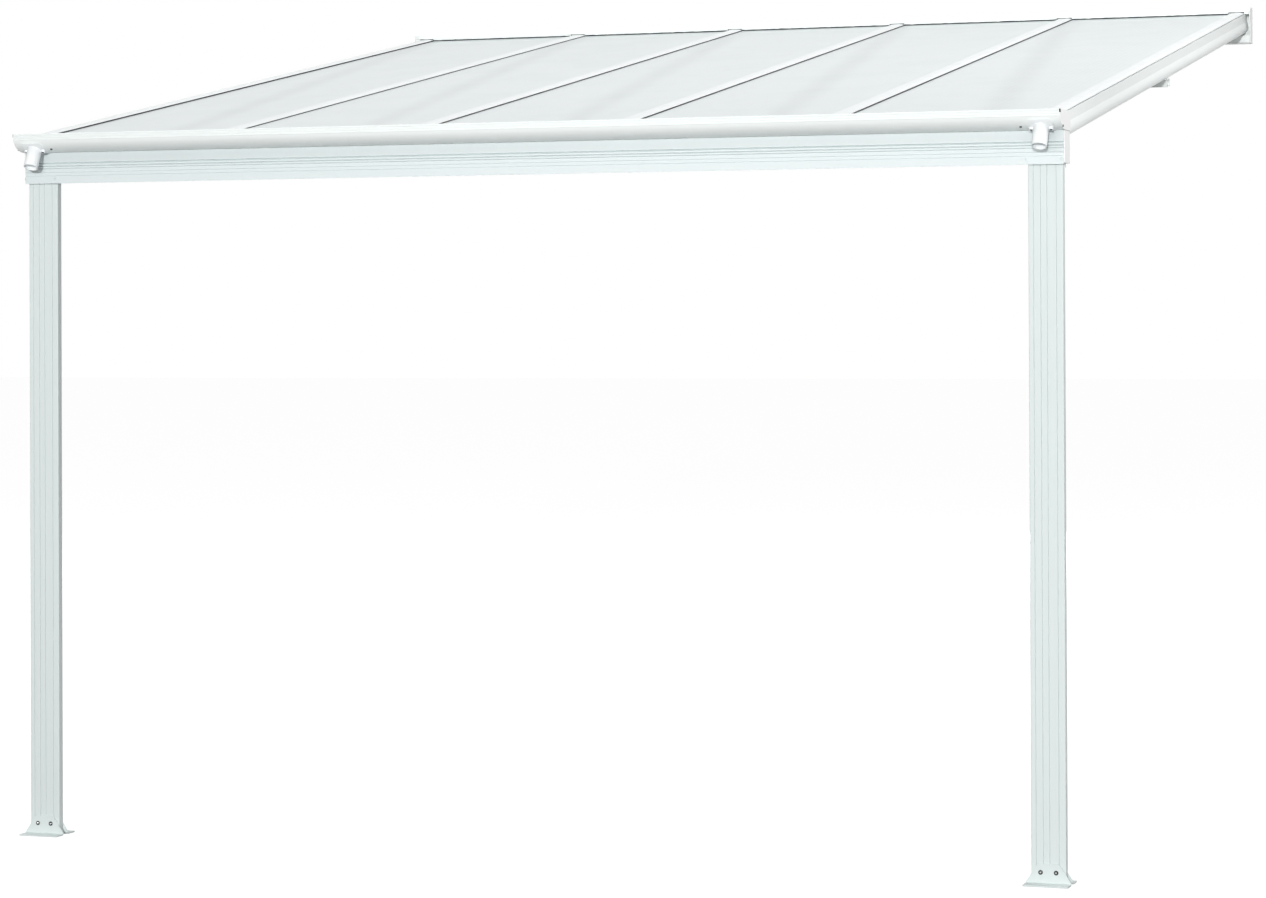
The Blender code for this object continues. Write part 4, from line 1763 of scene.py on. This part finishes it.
@dataclass
class Fasteners:
    """Every screw that shows."""

    palette: Palette
    curve: GutterFront
    foot_plate: float = 0.004
    foot_spread: float = 0.021
    foot_height: float = 0.033
    foot_turns: Span = (51.0, 82.0)     # of the recesses, in degrees, as all turns
    beam_inset: float = 0.0115
    beam_steps: Span = (-0.0488, 0.046)
    beam_turn: float = 12.0
    gutter_inwards: float = 0.055
    gutter_share: float = 0.60
    gutter_turn: float = 8.0
    cap_forwards: float = 0.0317
    cap_below: float = 0.0339
    cap_turn: float = 40.0
    tip: float = 0.0125
    tip_radius: float = 0.0021
    tip_inwards: float = 0.0040
    tip_back: float = 0.0355
    tip_sunk: float = 0.0005
    tip_point: float = 0.2          # width of the point against the shank

    def build(self) -> Pieces:
        """Drives the screws of the feet, the beam, the gutter and its outlets.

        Returns:
            The finished screws and washers.
        """
        return self._feet() + self._beam() + self._gutter() + self._tips()

    def _feet(self) -> Pieces:
        """Drives the screws that hold the foot brackets to the posts.

        Returns:
            The finished screws and washers.
        """
        made = []
        screw = PanScrew(
            "foot_screw", 0.0052, 0.0026, self.palette.zinc, washer=0.0124, washer_finish=self.palette.rubber
        )
        for side in Side:
            for way in Way:
                name = f"{side.word}_{way.word}"
                low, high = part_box(f"foot_{name}")
                plate = high.y - self.foot_plate if way is Way.FRONT else low.y + self.foot_plate
                places = zip((-self.foot_spread, self.foot_spread), self.foot_turns)
                for number, (step, turn) in enumerate(places, start=1):
                    point = Vector(((low.x + high.x) / 2.0 + step, plate, low.z + self.foot_height))
                    normal = Vector((0.0, way.value, 0.0))
                    made += screw.drive(f"foot_screw_{name}_{number}", point, normal, turn)
        screw.put_away()
        return made

    def _beam(self) -> Pieces:
        """Drives the coated screws over the posts.

        Returns:
            The finished screws and washers.
        """
        made = []
        coat = self.palette.across
        screw = PanScrew("beam_screw", 0.0058, 0.0022, coat, washer=0.0115, washer_finish=coat)
        beam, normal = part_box("front_beam")[0], Vector((0.0, -1.0, 0.0))
        for side in Side:
            middle = centre_of(f"post_{side.word}").x
            for number, step in enumerate(self.beam_steps, start=1):
                point = Vector((middle + step, beam.y, beam.z + self.beam_inset))
                made += screw.drive(f"beam_screw_{side.word}_{number}", point, normal, self.beam_turn)
        screw.put_away()
        return made

    def _gutter(self) -> Pieces:
        """Drives the dark screws beside the outlets and in the gutter's end plates.

        Returns:
            The finished screws.
        """
        made = []
        screw = PanScrew("gutter_screw", 0.0070, 0.0022, self.palette.black_steel)
        middle = self.curve.middle
        for side in Side:
            x = centre_of(f"outlet_{side.word}").x - side.value * self.gutter_inwards
            point, normal = self.curve.at(x, self.gutter_share)
            made += screw.drive(f"gutter_screw_{side.word}", point, normal, self.gutter_turn)
            face = side.outer(f"gutter_cap_{side.word}")
            point = Vector((face, middle.y - self.cap_forwards, middle.z - self.cap_below))
            normal = Vector((side.value, 0.0, 0.0))
            made += screw.drive(f"gutter_cap_screw_{side.word}", point, normal, self.cap_turn)
        screw.put_away()
        return made

    def _tips(self) -> Pieces:
        """Models the points of the screws that come out under the beam's ends.

        Returns:
            The finished points.
        """
        made = []
        for side in Side:
            node = f"beam_cap_{side.word}"
            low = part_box(node)[0]
            x = centre_of(node).x - side.value * self.tip_inwards
            start = Vector((x, low.y + self.tip_back, low.z + self.tip_sunk))
            stop = start - Vector((0.0, 0.0, self.tip))
            bench = Bench.rod(f"screw_tip_{side.word}", self.tip_radius, start, stop, 16)
            bench.taper(lambda mid, normal: normal.z < -ALONG, (self.tip_point, self.tip_point, 1.0))
            with bench.editing():
                bench.pick(Element.FACES, lambda mid, normal: abs(normal.z) < ALONG)
                bpy.ops.mesh.subdivide(number_cuts=3)
            made.append(bench.done(self.palette.zinc))
        return made


@dataclass(frozen=True)
class PhotoCamera:
    """Camera at the place and with the lens that a fit of the photograph's points gave."""

    place: tuple[float, float, float] = (3.4665, -12.0463, -1.03635)
    focal: float = 3445.14          # in the photograph's pixels
    yaw: float = -0.3346
    pitch: float = 0.0063
    roll: float = -0.0039
    lift: float = -145.0            # shift of the frame, in the photograph's pixels
    clip: Span = (0.1, 400.0)

    def build(self) -> bpy.types.Object:
        """Makes the camera and gives it to the scene.

        Returns:
            The camera object.
        """
        data = bpy.data.cameras.new("photo_camera")
        data.sensor_width = SENSOR_WIDE
        data.lens = self.focal / IMAGE_WIDE * SENSOR_WIDE
        data.shift_y = self.lift / IMAGE_WIDE
        data.clip_start, data.clip_end = self.clip
        ahead = Vector(
            (
                math.sin(self.yaw) * math.cos(self.pitch),
                math.cos(self.yaw) * math.cos(self.pitch),
                math.sin(self.pitch),
            )
        )
        level = Vector((math.cos(self.yaw), -math.sin(self.yaw), 0.0))
        upright = level.cross(ahead)
        right = math.cos(self.roll) * level + math.sin(self.roll) * upright
        up = math.cos(self.roll) * upright - math.sin(self.roll) * level
        camera = bpy.data.objects.new("photo_camera", data)
        bpy.context.scene.collection.objects.link(camera)
        turned = Matrix((right, up, -ahead)).transposed().to_4x4()
        camera.matrix_world = Matrix.Translation(self.place) @ turned
        bpy.context.scene.camera = camera
        return camera


@dataclass(frozen=True)
class SoftLamp:
    """One rectangular lamp."""

    name: str
    place: tuple[float, float, float]
    aim: tuple[float, float, float]
    wide: float
    high: float
    watts: float
    shines: bool = True             # shows in gloss and glass
    spread: float = 180.0

    def hang(self) -> bpy.types.Object:
        """Hangs the lamp, which the camera doesn't see.

        Returns:
            The lamp object.
        """
        data = bpy.data.lights.new(self.name, "AREA")
        data.shape = "RECTANGLE"
        data.size, data.size_y = self.wide, self.high
        data.energy = self.watts
        data.spread = math.radians(self.spread)
        item = bpy.data.objects.new(self.name, data)
        bpy.context.scene.collection.objects.link(item)
        item.visible_camera = False
        item.visible_glossy = self.shines
        item.visible_transmission = self.shines
        item.location = self.place
        item.rotation_mode = "QUATERNION"
        item.rotation_quaternion = (Vector(self.aim) - Vector(self.place)).to_track_quat("-Z", "Y")
        return item


LAMPS = (
    SoftLamp("key", (6.7, -33.0, 2.4), (0.0, -3.0, -0.8), 1.6, 1.6, 5300.0),
    SoftLamp("low_front", (3.8, -7.2, -1.9), (0.6, -3.0, -2.0), 1.4, 0.6, 24.0),
    SoftLamp("beam_strip", (-0.12, -6.5, 0.0), (-0.12, -3.0, -0.55), 2.8, 0.5, 29.5),
    SoftLamp("overhead", (0.0, -1.8, 7.0), (0.0, -1.6, -0.2), 8.0, 5.0, 430.0, False),
    SoftLamp("right_end", (2.05, -3.15, -0.25), (1.55, -3.05, -0.53), 0.15, 0.15, 0.9),
    SoftLamp("right_side", (4.9, -1.3, 1.5), (1.5, -1.5, -0.3), 1.6, 1.0, 16.0, False, 84.0),
    SoftLamp("behind", (-3.0, 12.0, -0.6), (0.0, -1.5, -1.0), 3.0, 2.0, 900.0, False),
)


@dataclass
class Studio:
    """White room: world, floor and soft lamps."""

    ambient: float = 0.29
    bounce: float = 0.30            # floor's colour as it lights the cover
    shade: float = 0.35             # floor's colour as it takes the cover's shadow
    glow: float = 0.88              # floor's own white under that shadow
    floor_wide: float = 160.0
    floor_below: float = 0.0005

    def _seen(self, sheet: Sheet) -> Socket:
        """Gives 1 for rays that see the room itself, straight or in gloss or glass."""
        path = sheet.add("ShaderNodeLightPath").outputs
        both = sheet.maths("MAXIMUM", path["Is Camera Ray"], path["Is Glossy Ray"])
        return sheet.maths("MAXIMUM", both, path["Is Transmission Ray"])

    def _show(self, sheet: Sheet, output: str, lighting: Socket, seen: Socket) -> None:
        """Lets one shader light the cover and shows the other one.

        Args:
            sheet: layout of the world or the material.
            output: Blender's name of its output node.
            lighting: shader that the cover is lit by.
            seen: shader that the camera sees.
        """
        out = sheet.add(output)
        mix = sheet.add("ShaderNodeMixShader")
        for place, value in zip(mix.inputs, (self._seen(sheet), lighting, seen)):
            sheet.join(value, place)
        sheet.join(mix.outputs[0], out.inputs["Surface"])

    def world(self) -> None:
        """Makes a world that lights evenly and looks white."""
        world = bpy.data.worlds.new("studio")
        world.use_nodes = True
        bpy.context.scene.world = world
        sheet = Sheet(world.node_tree)
        light, white = (
            sheet.add("ShaderNodeBackground", {"Color": (1.0, 1.0, 1.0, 1.0), "Strength": strength})
            for strength in (self.ambient, 1.0)
        )
        self._show(sheet, "ShaderNodeOutputWorld", light.outputs[0], white.outputs[0])

    def floor(self) -> bpy.types.Object:
        """Makes the plain pale floor, which keeps the cover's shadow.

        Returns:
            The floor object.
        """
        Bench.clear()
        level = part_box("foot_left_front")[0].z - self.floor_below
        bpy.ops.mesh.primitive_plane_add(size=self.floor_wide, location=(0.0, 0.0, level))
        piece = bpy.context.object
        piece.name = "floor"
        bpy.ops.object.transform_apply(location=True, rotation=True, scale=True)
        material = bpy.data.materials.new("pale_floor")
        material.use_nodes = True
        sheet = Sheet(material.node_tree)
        lit, shade = (
            sheet.add("ShaderNodeBsdfDiffuse", {"Color": (grey, grey, grey, 1.0)})
            for grey in (self.bounce, self.shade)
        )
        glow = sheet.add("ShaderNodeEmission", {"Color": (1.0, 1.0, 1.0, 1.0), "Strength": self.glow})
        white = sheet.add("ShaderNodeAddShader")
        sheet.join(shade.outputs[0], white.inputs[0])
        sheet.join(glow.outputs[0], white.inputs[1])
        self._show(sheet, "ShaderNodeOutputMaterial", lit.outputs[0], white.outputs[0])
        dress(piece, material)
        Bench.clear()
        return piece

    def build(self) -> None:
        """Makes the world, the floor and the lamps, and shows colours as they are written."""
        bpy.context.scene.view_settings.view_transform = "Standard"
        self.world()
        self.floor()
        for lamp in LAMPS:
            lamp.hang()


def numbered(name: str, count: int) -> tuple[str, ...]:
    """Gives the names of nodes that are numbered from 1."""
    return tuple(f"{name}_{number}" for number in range(1, count + 1))


def paired(name: str) -> tuple[str, ...]:
    """Gives the names of a left and a right node."""
    return tuple(f"{name}_{side.word}" for side in Side)


WHITE_CAPS = paired("wall_cap") + paired("gutter_cap") + paired("beam_cap")
POWDER_BRIGHT = ("wall_profile", "gutter", "cross_bar") + numbered("panel_trim", PANELS)
POWDER_UPHILL = paired("side_rafter") + numbered("rafter", PANELS - 1)
POWDER_UPRIGHT = paired("post") + tuple(f"{foot}_{way.word}" for foot in paired("foot") for way in Way)


def dress_nodes(palette: Palette) -> None:
    """Gives every CAD node its finish.

    Args:
        palette: the finishes.
    """
    for names, finish in (
        (("front_beam",), palette.across),
        (POWDER_BRIGHT, palette.gutter),
        (POWDER_UPHILL, palette.uphill),
        (numbered("cap_strip", PANELS + 1), palette.strips),
        (WHITE_CAPS, palette.caps),
        (POWDER_UPRIGHT, palette.upright),
        (paired("outlet"), palette.moulding),
    ):
        for name in names:
            dress(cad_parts[name], finish)
    for number, name in enumerate(numbered("roof_panel", PANELS), start=1):
        dress(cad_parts[name], palette.opal(number))


def main() -> None:
    """Builds every sub-assembly in order and reports its pieces."""
    logging.basicConfig(level=logging.INFO, format="%(name)s: %(message)s")
    LOG.info("camera %s", PhotoCamera().build().name)
    palette = Palette(Effects())
    dress_nodes(palette)
    roof, curve = RoofPlane(), GutterFront()
    pieces: Pieces = []
    for assembly in (
        FrontBeam(palette.across),
        Posts(palette.upright),
        Feet(palette.upright),
        GutterBeads(palette.beads, curve),
        Outlets(palette.moulding, palette.black_steel, curve),
        LipPlugs(palette.rubber),
        HoodSeals(roof, palette.rubber, palette.gutter),
        EdgeSeals(roof, palette.rubber),
        GlazingSeals(roof, palette.rubber),
    ):
        pieces += assembly.build()
    softened = SoftenedParts()
    pieces += [softened.build(name, palette.caps) for name in WHITE_CAPS]
    pieces += Fasteners(palette, curve).build()
    for piece in pieces:
        LOG.info("piece %s: %d faces", piece.name, len(piece.data.polygons))
    Studio().build()


if __name__ == "__main__":
    main()
